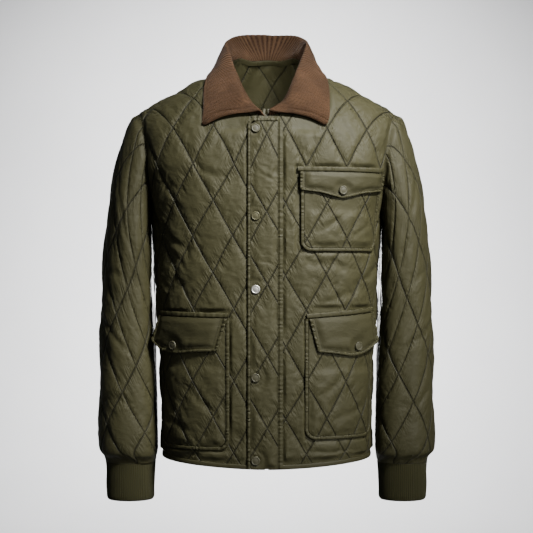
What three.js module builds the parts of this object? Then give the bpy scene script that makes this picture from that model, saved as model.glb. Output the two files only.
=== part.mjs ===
// A quilted jacket in the shape it has when worn, with nobody in it.
// Sizes are millimetres. +X is to the right of the front view, the front faces -Y, +Z is up.
// The origin is on the centre plane, level with the two points where neck and shoulder meet.
// Cloth places are given as p, the distance round the body from the centre, and r, the distance
// up the cloth. Below the chest r is the same as height.
import * as THREE from 'three';

// Cloth
const WALL = 2.2;
const PUFF = 5.2;
const SEAM = 0.3;
const LAY = 0.7;
const DIAMOND_WIDE = 69;
const DIAMOND_TALL = 120.6;
const SPLIT = 2;
const STEP_P = DIAMOND_WIDE / 2 / SPLIT;
const STEP_R = DIAMOND_TALL / 2 / SPLIT;
const FADE = 13;

// Torso
const CHEST = -177.3;
const UNDERARM = -267.75;
const HEM_FRONT = -684;
const HEM_RISE = 12;
const NECK_HALF = 79;
const FRONT_NECK = -102;
const BACK_NECK = 18;
const ARMHOLE_DEPTH = 68;
const ARM_GAP = 0.5;
const SHOULDER_FLARE = 0.11;
const SHOULDER_SLOPE = 0.56;
const SHOULDER_ROUND = 60;
const SHOULDER_TOP = 16.5;
const NAPE_RISE = 55;
const TORSO = [
  { z: -710, half: 179, front: 121, back: 121, square: 2.5 },
  { z: -665, half: 179.5, front: 123, back: 122, square: 2.5 },
  { z: -577, half: 180, front: 127, back: 127, square: 2.5 },
  { z: -490, half: 183, front: 130, back: 131, square: 2.5 },
  { z: -402, half: 188.5, front: 132, back: 135, square: 2.55 },
  { z: -315, half: 191.5, front: 134, back: 139, square: 2.6 },
  { z: -255, half: 196, front: 134, back: 140, square: 2.75 },
  { z: -228, half: 201, front: 133.5, back: 140, square: 2.85 },
  { z: -177.3, half: 212, front: 132, back: 139, square: 3 },
];

// Quilt: where one crossing of stitched lines falls on each piece
const CROSS = {
  frontLeft: { p: -21, r: -117 },
  frontRight: { p: 32, r: -117 },
  back: { p: 0, r: -117 },
  placket: { p: 1, r: -131.6 },
  sleeveLeft: { p: 81, r: -30 },
  sleeveRight: { p: 76, r: -48 },
};

// Sleeves: the outer and inner edges of the front view, x and z, and the depth of the tube
const SLEEVE_OUTER = [
  [226.5, -83], [235, -91], [243.5, -109], [252, -133], [258, -155], [263, -180], [269, -216],
  [276, -270], [282, -340], [285.5, -430], [287, -510], [287.5, -590], [288, -640], [287, -661],
  [280, -673.5], [278.5, -681.4],
];
const SLEEVE_INNER = [
  [198.6, -267.75], [203, -279], [203, -300], [201.5, -330], [199, -402], [195, -490], [192, -577],
  [190.5, -640], [190.5, -662], [193, -674], [194, -681.4],
];
const SLEEVE_DEPTH = [
  { t: 0, deep: 70, back: 0 }, { t: 0.1, deep: 78, back: 3 }, { t: 0.22, deep: 80, back: 4 },
  { t: 0.4, deep: 72, back: 2 }, { t: 0.6, deep: 64, back: -3 }, { t: 0.8, deep: 58, back: -8 },
  { t: 0.95, deep: 53, back: -12 }, { t: 1, deep: 41.5, back: -13 },
];
const SLEEVE_PUFF = 4.6;

// Cuffs
const CUFF_RIBS = 38;
const CUFF = [
  { z: -682.2, half: 42, deep: 41.5, rib: 0.6 },
  { z: -700, half: 40.5, deep: 40, rib: 2.2 },
  { z: -740, half: 39.5, deep: 39, rib: 2.2 },
  { z: -747.5, half: 37, deep: 36.5, rib: 0.6 },
];
const CUFF_X = 236.5;
const CUFF_WALL = 3;

// Placket, zip, hem and neck trims
const PLACKET_LEFT = -31.5;
const PLACKET_RIGHT = 27;
const PLACKET_BINDING = 5;
const PLACKET_STRIP = 8;
const PLACKET_TOP = -106.5;
const PLACKET_CORNER = 11;
const SNAPS_R = [-122.5, -260, -382, -529, -668];
const SNAP_P = -18;
const SNAP_RADIUS = 7.6;
const SNAP_HIGH = 2.6;
const ZIP_HALF = 2.4;
const HEM_EDGE = 7;
const HEM_WALL = 3.4;
const TAPE_WIDE = 10;

// Pockets as seen from the front: x and z of the outlines, out from the centre
const PIPING = 5.5;
const WELT_TALL = 8;
const POCKETS = [
  {
    name: 'chest_pocket', sign: 1, panel: 'frontRight', near: 62, far: 188, low: -313, high: -186,
    corner: 12, farCorner: 12, rise: 0, flare: 0, snap: [125.3, -216.5],
    flap: [[55, -217], [88.5, -221], [112, -227.5], [125.3, -230.5], [137, -227.5], [156, -221.5],
      [190, -215]],
    slant: 0, welt: [52, 190],
  },
  {
    name: 'pocket_left', sign: -1, panel: 'frontLeft', near: 67, far: 176, low: -646, high: -430,
    corner: 13, farCorner: 20, rise: 3, flare: 15, snap: [150, -477],
    flap: [[80, -485], [96, -486], [112, -486.5], [138, -489.5], [152, -491], [168, -485],
      [176.5, -469]],
    slant: 16, welt: [63, 176.5],
  },
  {
    name: 'pocket_right', sign: 1, panel: 'frontRight', near: 69, far: 176, low: -628, high: -431,
    corner: 13, farCorner: 20, rise: 10, flare: 9, snap: [148, -480],
    flap: [[84, -487], [99, -488.5], [113, -490], [138, -495], [151, -494], [166, -486],
      [176.5, -470]],
    slant: 15, welt: [67, 176.5],
  },
];

// Collar, from the front end at s = 0 round to the middle of the back at s = 1
const FOLD = [
  { s: 0, x: 8, y: -126, z: -84 }, { s: 0.1, x: 17, y: -117, z: -77 },
  { s: 0.2, x: 27, y: -103, z: -66 }, { s: 0.35, x: 40, y: -88, z: -44 },
  { s: 0.5, x: 51, y: -66, z: -15 }, { s: 0.6, x: 60, y: -42, z: 8 },
  { s: 0.67, x: 67, y: -13, z: 31 }, { s: 0.77, x: 71, y: 18, z: 49 },
  { s: 0.87, x: 66, y: 50, z: 60 }, { s: 0.94, x: 44, y: 68, z: 69 }, { s: 1, x: 0, y: 75, z: 71 },
];
const LEAF = [
  { s: 0, x: 103, y: -112, z: -113 }, { s: 0.15, x: 104.5, y: -106, z: -97 },
  { s: 0.3, x: 104, y: -94, z: -78 }, { s: 0.45, x: 103.5, y: -74, z: -56 },
  { s: 0.57, x: 101, y: -48, z: -34 }, { s: 0.67, x: 97, y: -8, z: -9 },
  { s: 0.77, x: 94, y: 32, z: -4 }, { s: 0.87, x: 80, y: 74, z: 3 },
  { s: 0.94, x: 48, y: 97, z: 10 }, { s: 1, x: 0, y: 106, z: 13 },
];
const COLLAR_WALL = 2.6;
const COLLAR_CLEAR = 4;
const COLLAR_SHIFT = -3;

const smooth = (u) => {
  const c = Math.min(1, Math.max(0, u));
  return c * c * (3 - 2 * c);
};
const lerp = (a, b, u) => a + (b - a) * u;

// A smooth curve through the rows of a table, keyed by one column
function read(table, key, name, at) {
  let i = 0;
  while (i < table.length - 2 && at > table[i + 1][key]) i += 1;
  const pick = (k) => table[Math.min(table.length - 1, Math.max(0, k))];
  const [a, b, c, d] = [pick(i - 1), pick(i), pick(i + 1), pick(i + 2)];
  const span = c[key] - b[key];
  const u = Math.min(1, Math.max(0, (at - b[key]) / span));
  const slope = (lo, hi) => (hi[key] === lo[key] ? 0 : (hi[name] - lo[name]) / (hi[key] - lo[key]));
  const m0 = slope(a, c) * span;
  const m1 = slope(b, d) * span;
  const u2 = u * u;
  const u3 = u2 * u;
  return (2 * u3 - 3 * u2 + 1) * b[name] + (u3 - 2 * u2 + u) * m0
    + (3 * u2 - 2 * u3) * c[name] + (u3 - u2) * m1;
}

// One quarter of the body's outline at a height, as points with their distance from the centre
const quarters = new Map();
function quarter(z, side) {
  const key = `${side}:${z.toFixed(2)}`;
  if (quarters.has(key)) return quarters.get(key);
  const half = read(TORSO, 'z', 'half', z);
  const depth = read(TORSO, 'z', side < 0 ? 'front' : 'back', z);
  const power = 2 / read(TORSO, 'z', 'square', z);
  const points = [];
  const steps = 180;
  let arc = 0;
  for (let k = 0; k <= steps; k += 1) {
    const angle = (Math.PI / 2) * (k / steps);
    const x = half * Math.sin(angle) ** power;
    const y = k === steps ? 0 : depth * Math.cos(angle) ** power;
    if (k > 0) arc += Math.hypot(x - points[k - 1].x, y - points[k - 1].y);
    points.push({ x, y, arc });
  }
  quarters.set(key, points);
  return points;
}

function alongQuarter(points, arc) {
  let lo = 0;
  let hi = points.length - 1;
  while (hi - lo > 1) {
    const mid = (lo + hi) >> 1;
    if (points[mid].arc <= arc) lo = mid;
    else hi = mid;
  }
  const u = (arc - points[lo].arc) / (points[hi].arc - points[lo].arc);
  return { x: lerp(points[lo].x, points[hi].x, u), y: lerp(points[lo].y, points[hi].y, u) };
}

const sideArc = (z, side) => quarter(z, side).at(-1).arc;

function ringPoint(z, side, p) {
  const arc = Math.abs(p);
  const total = sideArc(z, side);
  if (arc <= total) return alongQuarter(quarter(z, side), arc);
  const other = quarter(z, -side);
  const q = alongQuarter(other, Math.max(0, other.at(-1).arc - (arc - total)));
  return { x: q.x, y: -q.y };
}

// Height of the shoulder line, raised at the nape behind the neck
function ridge(x, side) {
  const run = Math.hypot(x, SHOULDER_ROUND) - SHOULDER_ROUND;
  const nape = side > 0 && Math.abs(x) < NECK_HALF
    ? NAPE_RISE * Math.cos((Math.PI / 2) * (x / NECK_HALF)) ** 2 : 0;
  return SHOULDER_TOP - SHOULDER_SLOPE * run + nape;
}

// Length of cloth from the chest over to the shoulder line
function capLength(p, side) {
  const q = ringPoint(CHEST, side, p);
  return (Math.PI / 2) * Math.hypot(q.y, ridge(q.x, side) - CHEST) / Math.SQRT2;
}

// The value between two ends at which a falling function reaches a level
function solve(lo, hi, f, want) {
  let [a, b] = [lo, hi];
  for (let k = 0; k < 40; k += 1) {
    const mid = (a + b) / 2;
    if (f(mid) > want) a = mid;
    else b = mid;
  }
  return (a + b) / 2;
}

const ARM_FRONT = solve(0, sideArc(CHEST, -1), (p) => ringPoint(CHEST, -1, p).y, ARMHOLE_DEPTH);
const ARM_X = ringPoint(CHEST, -1, ARM_FRONT).x;
const ARM_BACK = solve(0, sideArc(CHEST, 1), (p) => -ringPoint(CHEST, 1, p).x, -ARM_X);
const ARM_P = { front: ARM_FRONT, back: ARM_BACK };
const armP = (side) => (side < 0 ? ARM_P.front : ARM_P.back);
const tipR = (side) => CHEST + capLength(armP(side), side);

// Low, broad folds of the worn cloth, fading out towards the side seams
const DRAPE_DEPTH = 160;
const DRAPE_SIDE = 40;
function drape(p, r, side) {
  const low = smooth((-420 - r) / 240);
  const wave = Math.sin(p / 31 + (side > 0 ? 1.3 : 0.2)) + 0.6 * Math.sin(p / 19 + r / 160);
  const waist = Math.sin(r / 46 + p / 95) * smooth((r + 640) / 120) * smooth((-230 - r) / 90);
  return 1.3 * low * wave + 0.8 * waist;
}

// The body's cloth, half way through its wall
function torso(p, r, side) {
  const q = ringPoint(Math.min(r, CHEST), side, p);
  const sign = p < 0 ? -1 : 1;
  if (r <= CHEST) {
    const fold = drape(p, r, q.y < 0 ? -side : side);
    const grow = 1 + (fold / DRAPE_DEPTH) * smooth(q.y / DRAPE_SIDE);
    return new THREE.Vector3(sign * q.x, side * q.y * grow, r);
  }
  const angle = (Math.PI / 2) * ((r - CHEST) / capLength(p, side));
  const flare = 1 + SHOULDER_FLARE * Math.abs(Math.sin(angle)) ** 1.8 * (q.x / ARM_X) ** 4;
  const x = q.x * flare;
  const z = CHEST + (ridge(x, side) - CHEST) * Math.sin(angle);
  return new THREE.Vector3(sign * x, side * q.y * Math.cos(angle), z);
}

function normalOf(place, p, r, turn) {
  const h = 0.6;
  const dp = place(p + h, r).sub(place(p - h, r));
  const dr = place(p, r + h).sub(place(p, r - h));
  return dp.cross(dr).normalize().multiplyScalar(turn);
}
const onTorso = (side) => (p, r) => {
  const place = (a, b) => torso(a, b, side);
  return { at: place(p, r), out: normalOf(place, p, r, -side) };
};

// Height of the padding, none on a stitched line and one in the middle of a diamond
function padding(p, r, cross) {
  const u = (p - cross.p) / (DIAMOND_WIDE / 2);
  const v = (r - cross.r) / (DIAMOND_TALL / 2);
  const near = (w) => {
    const m = ((w % 2) + 2) % 2;
    return Math.min(m, 2 - m);
  };
  const bow = (d) => 1 - (1 - d) ** 2;
  return bow(near(u + v)) * bow(near(u - v));
}

// A closed wall of cloth: an outer skin, an inner skin and the rims between them
class Wall {
  constructor(name, look) {
    this.name = name;
    this.look = look;
    this.outer = [];
    this.inner = [];
    this.faces = [];
    this.inside = [];
  }

  add(outer, inner) {
    this.outer.push(outer);
    this.inner.push(inner);
    return this.outer.length - 1;
  }

  lay(spot, wall, base = 0, lift = 0) {
    const outer = spot.at.clone().addScaledVector(spot.out, base + wall / 2 + lift);
    const inner = spot.at.clone().addScaledVector(spot.out, base - wall / 2);
    return this.add(outer, inner);
  }

  // Fills the strip between two rows on both skins; the plain inner one leaves some points out
  zip(low, high) {
    const kept = (row) => row.filter((v, k) => k === 0 || k === row.length - 1 || !v.skip);
    this.fill(this.faces, low, high);
    this.fill(this.inside, kept(low), kept(high));
  }

  // Fills the strip between two rows of points, each sorted by p
  fill(faces, low, high) {
    let i = 0;
    let j = 0;
    while (i < low.length - 1 || j < high.length - 1) {
      const a = i < low.length - 1 ? low[i + 1].p : Infinity;
      const b = j < high.length - 1 ? high[j + 1].p : Infinity;
      if (Math.abs(a - b) < 1e-6) {
        this.cell(faces, low[i], low[i + 1], high[j], high[j + 1]);
        i += 1;
        j += 1;
      } else if (a < b) {
        faces.push([low[i].id, low[i + 1].id, high[j].id]);
        i += 1;
      } else {
        faces.push([low[i].id, high[j + 1].id, high[j].id]);
        j += 1;
      }
    }
  }

  // Splits a four-sided cell along the stitched line or along the contour of the padding
  cell(faces, a, b, c, d) {
    const rising = Math.abs(a.h - d.h);
    const falling = Math.abs(b.h - c.h);
    const tie = Math.abs(rising - falling) < 1e-6;
    if (rising < falling - 1e-6 || (tie && a.h + d.h <= b.h + c.h)) {
      faces.push([a.id, b.id, d.id], [a.id, d.id, c.id]);
    } else {
      faces.push([a.id, b.id, c.id], [b.id, d.id, c.id]);
    }
  }

  mesh() {
    let facing = 0;
    const edges = new Map();
    for (const [a, b, c] of this.faces) {
      const [A, B, C] = [this.outer[a], this.outer[b], this.outer[c]];
      const across = B.clone().sub(A).cross(C.clone().sub(A));
      facing += across.dot(A.clone().sub(this.inner[a]));
      for (const [i, j] of [[a, b], [b, c], [c, a]]) {
        const back = `${j},${i}`;
        if (edges.has(back)) edges.delete(back);
        else edges.set(`${i},${j}`, [i, j]);
      }
    }
    const n = this.outer.length;
    const index = [];
    const put = (a, b, c) => index.push(...(facing > 0 ? [a, b, c] : [a, c, b]));
    for (const [a, b, c] of this.faces) put(a, b, c);
    for (const [a, b, c] of this.inside) put(a + n, c + n, b + n);
    for (const [i, j] of edges.values()) {
      put(j, i, i + n);
      put(j, i + n, j + n);
    }
    const geometry = new THREE.BufferGeometry();
    const flat = [...this.outer, ...this.inner].flatMap((v) => [v.x, v.y, v.z]);
    geometry.setAttribute('position', new THREE.Float32BufferAttribute(flat, 3));
    geometry.setIndex(index);
    geometry.computeVertexNormals();
    const mesh = new THREE.Mesh(geometry, new THREE.MeshStandardMaterial(this.look));
    mesh.name = this.name;
    return mesh;
  }
}

const SHELL = { color: 0x5a573f, roughness: 0.6 };
const KNIT = { color: 0x33331f, roughness: 0.9 };
const CORD = { color: 0x6b4936, roughness: 0.85 };
const METAL = { color: 0xb8b4a6, roughness: 0.35, metalness: 0.8 };
const SNAP = { color: 0x4e4a36, roughness: 0.45 };

// Levels of the quilt between two heights, with chosen levels kept and close ones dropped
function levels(lo, hi, cross, keep = [], step = STEP_R, clear = 9) {
  const fixed = [lo, ...keep, hi];
  const list = [...fixed];
  const first = Math.ceil((lo - cross.r) / step);
  for (let k = first; cross.r + k * step < hi; k += 1) {
    const r = cross.r + k * step;
    if (fixed.every((f) => Math.abs(f - r) > clear)) list.push(r);
  }
  return list.sort((a, b) => a - b);
}

// Points that only the padded outer skin needs: every second column, never in an edge row
const odd = (p, cross) => Math.abs(Math.round((p - cross.p) / STEP_P)) % 2 === 1;
function thin(rows, cross) {
  for (const v of rows.slice(1, -1).flat()) v.skip = odd(v.p, cross) && !v.nape;
}

// Columns of the quilt between two edges
function columns(left, right, cross, step = STEP_P, clear = 5.5) {
  const list = [left];
  const first = Math.ceil((left + clear - cross.p) / step);
  for (let k = first; cross.p + k * step <= right - clear; k += 1) list.push(cross.p + k * step);
  if (right - left > 1e-6) list.push(right);
  return list;
}

// Edges of the body panels, as p for a given r
function armEdge(r, side) {
  if (r <= UNDERARM) return sideArc(r, side) - SEAM / 2;
  if (r < CHEST) {
    const u = (CHEST - r) / (CHEST - UNDERARM);
    return lerp(armP(side), sideArc(r, side) - SEAM / 2, 1 - Math.sqrt(1 - u * u));
  }
  const tip = tipR(side);
  if (r <= tip) return armP(side) - (side < 0 ? 4 : 2) * Math.sin(Math.PI * ((r - CHEST) / (tip - CHEST)));
  return solve(NECK_HALF * 0.9, armP(side), (p) => CHEST + capLength(p, side) - SEAM / 2, r);
}
const apexR = (side) => CHEST + capLength(NECK_HALF, side) - SEAM / 2;
function neckEdge(r, side) {
  const low = side < 0 ? FRONT_NECK : BACK_NECK;
  if (r <= low) return 0;
  const u = Math.min(1, (r - low) / (apexR(side) - low));
  return NECK_HALF * Math.sqrt(1 - (1 - u) ** 2);
}
const hemLow = (side) => (side < 0 ? HEM_FRONT : HEM_FRONT - 4);
const hemR = (p, side) => lerp(hemLow(side), HEM_FRONT + HEM_RISE,
  smooth(Math.abs(p) / sideArc(HEM_FRONT, side)));

// Distance round the cloth of a point seen from the front
function roundTo(x, z) {
  const points = quarter(Math.min(z, CHEST), -1);
  let k = 1;
  while (k < points.length - 1 && points[k].x < x) k += 1;
  const [a, b] = [points[k - 1], points[k]];
  return lerp(a.arc, b.arc, Math.min(1, (x - a.x) / (b.x - a.x)));
}

// The cloth lies flat under a pocket and under the placket
function flatUnder(p, r, name) {
  if (p > PLACKET_LEFT - STEP_P && p < PLACKET_RIGHT + STEP_P) return 0;
  for (const k of POCKETS) {
    const reach = Math.abs(p);
    const inside = k.panel === name && reach > roundTo(k.welt[0], k.high) - STEP_P
      && reach < roundTo(k.welt[1] + 3, k.high) + STEP_P
      && r > k.low - PIPING - STEP_R && r < k.high + WELT_TALL + k.rise + STEP_R;
    if (inside) return 0;
  }
  return 1;
}

// The padding is pressed flat round the underarm and under the collar
function pressed(p, r, side) {
  const pit = Math.hypot(sideArc(Math.min(r, CHEST), side) - Math.abs(p), r - UNDERARM - 10);
  const collarLow = side < 0 ? -125 : -24;
  return smooth((pit - 16) / 24) * (Math.abs(p) < 112 && r > collarLow ? 0 : 1);
}

// Rows of a front panel run from the centre edge to the side, armhole or shoulder
function frontPanel(name, cross, sign) {
  const wall = new Wall(name === 'frontLeft' ? 'front_left' : 'front_right', SHELL);
  const side = -1;
  const spot = onTorso(side);
  const tip = tipR(side);
  const top = apexR(side);
  const keep = [UNDERARM, CHEST, FRONT_NECK, FRONT_NECK + 10, FRONT_NECK + 28, tip];
  const rows = [];
  const edge = { neck: [], arm: [] };
  for (const r of levels(HEM_FRONT + HEM_EDGE, top, cross, keep)) {
    const inner = Math.max(ZIP_HALF + SEAM, neckEdge(r, side));
    const outer = Math.max(inner, armEdge(r, side));
    const span = columns(sign < 0 ? -outer : inner, sign < 0 ? -inner : outer, cross);
    const row = span.map((p, k) => {
      const end = k === 0 || k === span.length - 1;
      const near = Math.min(Math.abs(p) - inner, outer - Math.abs(p));
      const h = end ? 0 : padding(p, r, cross) * smooth(near / FADE) * flatUnder(p, r, name)
        * pressed(p, r, side)
        * smooth((r - HEM_FRONT - 10) / FADE) * smooth((top - 4 - r) / FADE);
      const up = r < HEM_FRONT + 40 ? hemR(p, side) - HEM_FRONT : 0;
      const fade = 1 - smooth((r - HEM_FRONT - HEM_EDGE) / 30);
      return { p, h, id: wall.lay(spot(p, r + up * fade), WALL, 0, PUFF * h) };
    });
    rows.push(row);
    const [far, close] = sign < 0 ? [row[0], row.at(-1)] : [row.at(-1), row[0]];
    if (r >= UNDERARM - 1e-6 && r <= tip + 1e-6) edge.arm.push(far.id);
    if (r >= FRONT_NECK - 1e-6) edge.neck.push(close.id);
  }
  thin(rows, cross);
  for (let k = 0; k < rows.length - 1; k += 1) wall.zip(rows[k], rows[k + 1]);
  return { wall, edge };
}

// The back panel is whole up to the nape, then goes on as a horn to each shoulder
function backPanel(cross) {
  const wall = new Wall('back', SHELL);
  const side = 1;
  const spot = onTorso(side);
  const tip = tipR(side);
  const top = apexR(side);
  const low = HEM_FRONT - 4;
  const point = (p, r, near) => {
    const h = near <= 0 ? 0 : padding(p, r, cross) * smooth(near / FADE) * pressed(p, r, side)
      * smooth((r - low - 10) / FADE) * smooth((top - 4 - r) / FADE);
    const up = r < low + 40 ? hemR(p, side) - low : 0;
    const fade = 1 - smooth((r - low - HEM_EDGE) / 30);
    const nape = Math.abs(p) < 100 && r > -20;
    return { p, h, nape, id: wall.lay(spot(p, r + up * fade), WALL, 0, PUFF * h) };
  };
  const edge = { neck: [[], []], arm: [[], []] };
  const keep = [UNDERARM, CHEST, tip, BACK_NECK, BACK_NECK + 5, BACK_NECK + 16, BACK_NECK + 32];
  const rows = [];
  const horns = [[], []];
  for (const r of levels(low + HEM_EDGE, top, cross, keep)) {
    const outer = armEdge(r, side);
    if (r <= BACK_NECK) {
      const fromTip = (p) => outer - Math.abs(p);
      const drop = (p) => (r === BACK_NECK ? Math.min(fromTip(p), Math.abs(p) * 0.4) : fromTip(p));
      const row = columns(-outer, outer, cross).map((p) => point(p, r, drop(p)));
      rows.push(row);
      if (r === BACK_NECK) {
        const middle = row.findIndex((v) => Math.abs(v.p) < 1e-6);
        horns[0].push(row.slice(0, middle + 1));
        horns[1].push(row.slice(middle));
        edge.neck[0].push(row[middle].id);
        edge.neck[1].push(row[middle].id);
      }
      if (r >= UNDERARM - 1e-6 && r <= tip + 1e-6) {
        edge.arm[0].push(row[0].id);
        edge.arm[1].push(row.at(-1).id);
      }
    } else {
      const inner = neckEdge(r, side);
      const span = columns(inner, Math.max(inner, outer), { p: cross.p });
      const right = span.map((p) => point(p, r, Math.min(p - inner, outer - p)));
      const left = [...span].reverse().map((p) => point(-p, r, Math.min(p - inner, outer - p)));
      horns[0].push(left);
      horns[1].push(right);
      edge.neck[0].push(left.at(-1).id);
      edge.neck[1].push(right[0].id);
    }
  }
  thin([...rows, []], cross);
  for (const horn of horns) thin([[], ...horn], cross);
  for (const set of [rows, ...horns]) {
    for (let k = 0; k < set.length - 1; k += 1) wall.zip(set[k], set[k + 1]);
  }
  return { wall, edge };
}

// Sleeves
const curveOf = (list) => new THREE.CatmullRomCurve3(
  list.map(([x, z]) => new THREE.Vector3(x, 0, z)), false, 'centripetal');
const OUTER = curveOf(SLEEVE_OUTER);
const INNER = curveOf(SLEEVE_INNER);
const SLEEVE_LONG = (OUTER.getLength() + INNER.getLength()) / 2;
const rings = new Map();
function sleeveRing(t) {
  const key = t.toFixed(5);
  if (rings.has(key)) return rings.get(key);
  const o = OUTER.getPointAt(t);
  const i = INNER.getPointAt(t);
  const deep = read(SLEEVE_DEPTH, 't', 'deep', t);
  const shift = read(SLEEVE_DEPTH, 't', 'back', t);
  const points = [];
  const steps = 120;
  let arc = 0;
  for (let k = 0; k <= steps; k += 1) {
    const angle = Math.PI * (k / steps);
    const c = Math.cos(angle);
    const power = 2 / (c < 0 ? 2.6 : 2.15);
    const u = (1 + Math.sign(c) * Math.abs(c) ** power) / 2;
    const x = lerp(i.x, o.x, u);
    const z = lerp(i.z, o.z, u);
    const y = k === steps ? 0 : deep * Math.sin(angle) ** power;
    if (k > 0) arc += Math.hypot(x - points[k - 1].x, y - points[k - 1].y, z - points[k - 1].z);
    points.push({ x, y, z, arc });
  }
  const ring = { points, half: arc, shift };
  rings.set(key, ring);
  return ring;
}

function ringSpot(t, a) {
  const ring = sleeveRing(t);
  const arc = Math.min(ring.half, Math.abs(a));
  let lo = 0;
  let hi = ring.points.length - 1;
  while (hi - lo > 1) {
    const mid = (lo + hi) >> 1;
    if (ring.points[mid].arc <= arc) lo = mid;
    else hi = mid;
  }
  const [A, B] = [ring.points[lo], ring.points[hi]];
  const u = (arc - A.arc) / (B.arc - A.arc);
  const y = ring.shift - Math.sign(a) * lerp(A.y, B.y, u);
  return new THREE.Vector3(lerp(A.x, B.x, u), y, lerp(A.z, B.z, u));
}

// The sleeve follows the armhole of the body at its head and its own rings below
function sleeve(name, sign, seam) {
  const wall = new Wall(name, SHELL);
  const count = seam.length - 1;
  const marks = [0];
  for (let k = 1; k <= count; k += 1) {
    marks.push(marks[k - 1] + seam[k].distanceTo(seam[k - 1]));
  }
  const middle = marks[seam.findIndex((v) => v.tip)];
  const share = marks.map((m) => (m < middle ? m / middle - 1 : (m - middle) / (marks[count] - middle)));
  const away = seam.map((v, k) => {
    const home = ringSpot(0, share[k] * sleeveRing(0).half);
    return new THREE.Vector3(sign * v.x - home.x, v.y - home.y, v.z - home.z);
  });
  const pull = (f) => {
    let k = 1;
    while (k < count && share[k] < f) k += 1;
    const u = (f - share[k - 1]) / (share[k] - share[k - 1]);
    return away[k - 1].clone().lerp(away[k], smooth(u) * 0.5 + u * 0.5);
  };
  const place = (f, t) => {
    const wrap = f > 1 ? f - 2 : f < -1 ? f + 2 : f;
    const at = ringSpot(Math.max(0, Math.min(1, t)), wrap * sleeveRing(Math.max(0, Math.min(1, t))).half);
    at.addScaledVector(pull(wrap), 1 - smooth(t / 0.24));
    return new THREE.Vector3(sign * at.x, at.y, at.z);
  };
  const spot = (f, t) => {
    const h = 0.004;
    const [lo, hi] = [Math.max(0, t - h), Math.min(1, t + h)];
    const df = place(f + h, t).sub(place(f - h, t));
    const dt = place(f, hi).sub(place(f, lo));
    return { at: place(f, t), out: df.cross(dt).normalize().multiplyScalar(sign) };
  };
  const rows = [];
  const half = sleeveRing(0).half;
  const head = seam.map((v, k) => {
    const own = spot(share[k], 0.004).out.multiplyScalar(-WALL);
    const through = v.through.clone().lerp(own, smooth((Math.abs(share[k]) - 0.4) / 0.4));
    const id = k === count ? 0 : wall.add(v.clone(), v.clone().add(through));
    return { p: share[k] * half, h: 0, id };
  });
  rows.push(head);
  const cross = sign < 0 ? CROSS.sleeveLeft : CROSS.sleeveRight;
  for (const r of levels(-SLEEVE_LONG, 0, cross, [-SLEEVE_LONG + 10, -SLEEVE_LONG + 22, -14])) {
    if (r > -1e-6) continue;
    const t = -r / SLEEVE_LONG;
    const wide = sleeveRing(t).half;
    const span = columns(-wide, wide, cross);
    const row = span.map((a, k) => {
      const near = Math.min(-r, r + SLEEVE_LONG - 6);
      const under = smooth((wide - Math.abs(a) - 28) / 36);
      const h = padding(a, r, cross) * smooth(near / FADE) * under;
      if (k === span.length - 1) return { p: a, h: 0, id: null };
      return { p: a, h, id: wall.lay(spot(a / wide, t), WALL, 0, SLEEVE_PUFF * h) };
    });
    row.at(-1).id = row[0].id;
    rows.splice(1, 0, row);
  }
  thin(rows.slice(1), cross);
  for (let k = 0; k < rows.length - 1; k += 1) wall.zip(rows[k], rows[k + 1]);
  return wall;
}

// Rib knit cuff
function cuff(name, sign) {
  const wall = new Wall(name, KNIT);
  const count = 2 * CUFF_RIBS;
  const rows = CUFF.map((ring) => {
    const row = [];
    for (let k = 0; k < count; k += 1) {
      const angle = (2 * Math.PI * k) / count;
      const at = (grow) => new THREE.Vector3(
        sign * (CUFF_X + (ring.half + grow) * Math.cos(angle)),
        SLEEVE_DEPTH.at(-1).back + (ring.deep + grow) * Math.sin(angle), ring.z);
      const lift = k % 2 ? ring.rib : 0;
      const skip = k % 4 !== 0 && ring !== CUFF[0] && ring !== CUFF.at(-1);
      row.push({ p: k, h: 0, skip, id: wall.add(at(CUFF_WALL / 2 + lift), at(-CUFF_WALL / 2)) });
    }
    row.push({ p: count, h: 0, id: row[0].id });
    return row;
  });
  for (let k = 0; k < rows.length - 1; k += 1) wall.zip(rows[k], rows[k + 1]);
  return wall;
}

// How far a point stands out from the body's cloth, with the direction out
function fromBody(v) {
  const side = v.y < 0 ? -1 : 1;
  const ring = TORSO.at(-1);
  const power = ring.square;
  const depth = (x) => (side < 0 ? ring.front : ring.back)
    * (1 - Math.min(0.999, Math.abs(x) / ring.half) ** power) ** (1 / power);
  const f = (x, y, z) => Math.hypot(y / depth(x), Math.max(0, z - CHEST) / (ridge(x, side) - CHEST)) - 1;
  const h = 0.5;
  const g = new THREE.Vector3(
    f(v.x + h, v.y, v.z) - f(v.x - h, v.y, v.z),
    f(v.x, v.y + h, v.z) - f(v.x, v.y - h, v.z),
    f(v.x, v.y, v.z + h) - f(v.x, v.y, v.z - h)).multiplyScalar(1 / (2 * h));
  const steep = g.length();
  return { gap: f(v.x, v.y, v.z) / steep, out: g.multiplyScalar(1 / steep) };
}
function standOff(v, clear) {
  const at = v.clone();
  for (let k = 0; k < 6; k += 1) {
    const { gap, out } = fromBody(at);
    if (gap < clear) at.addScaledVector(out, clear - gap);
  }
  return at;
}

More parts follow.
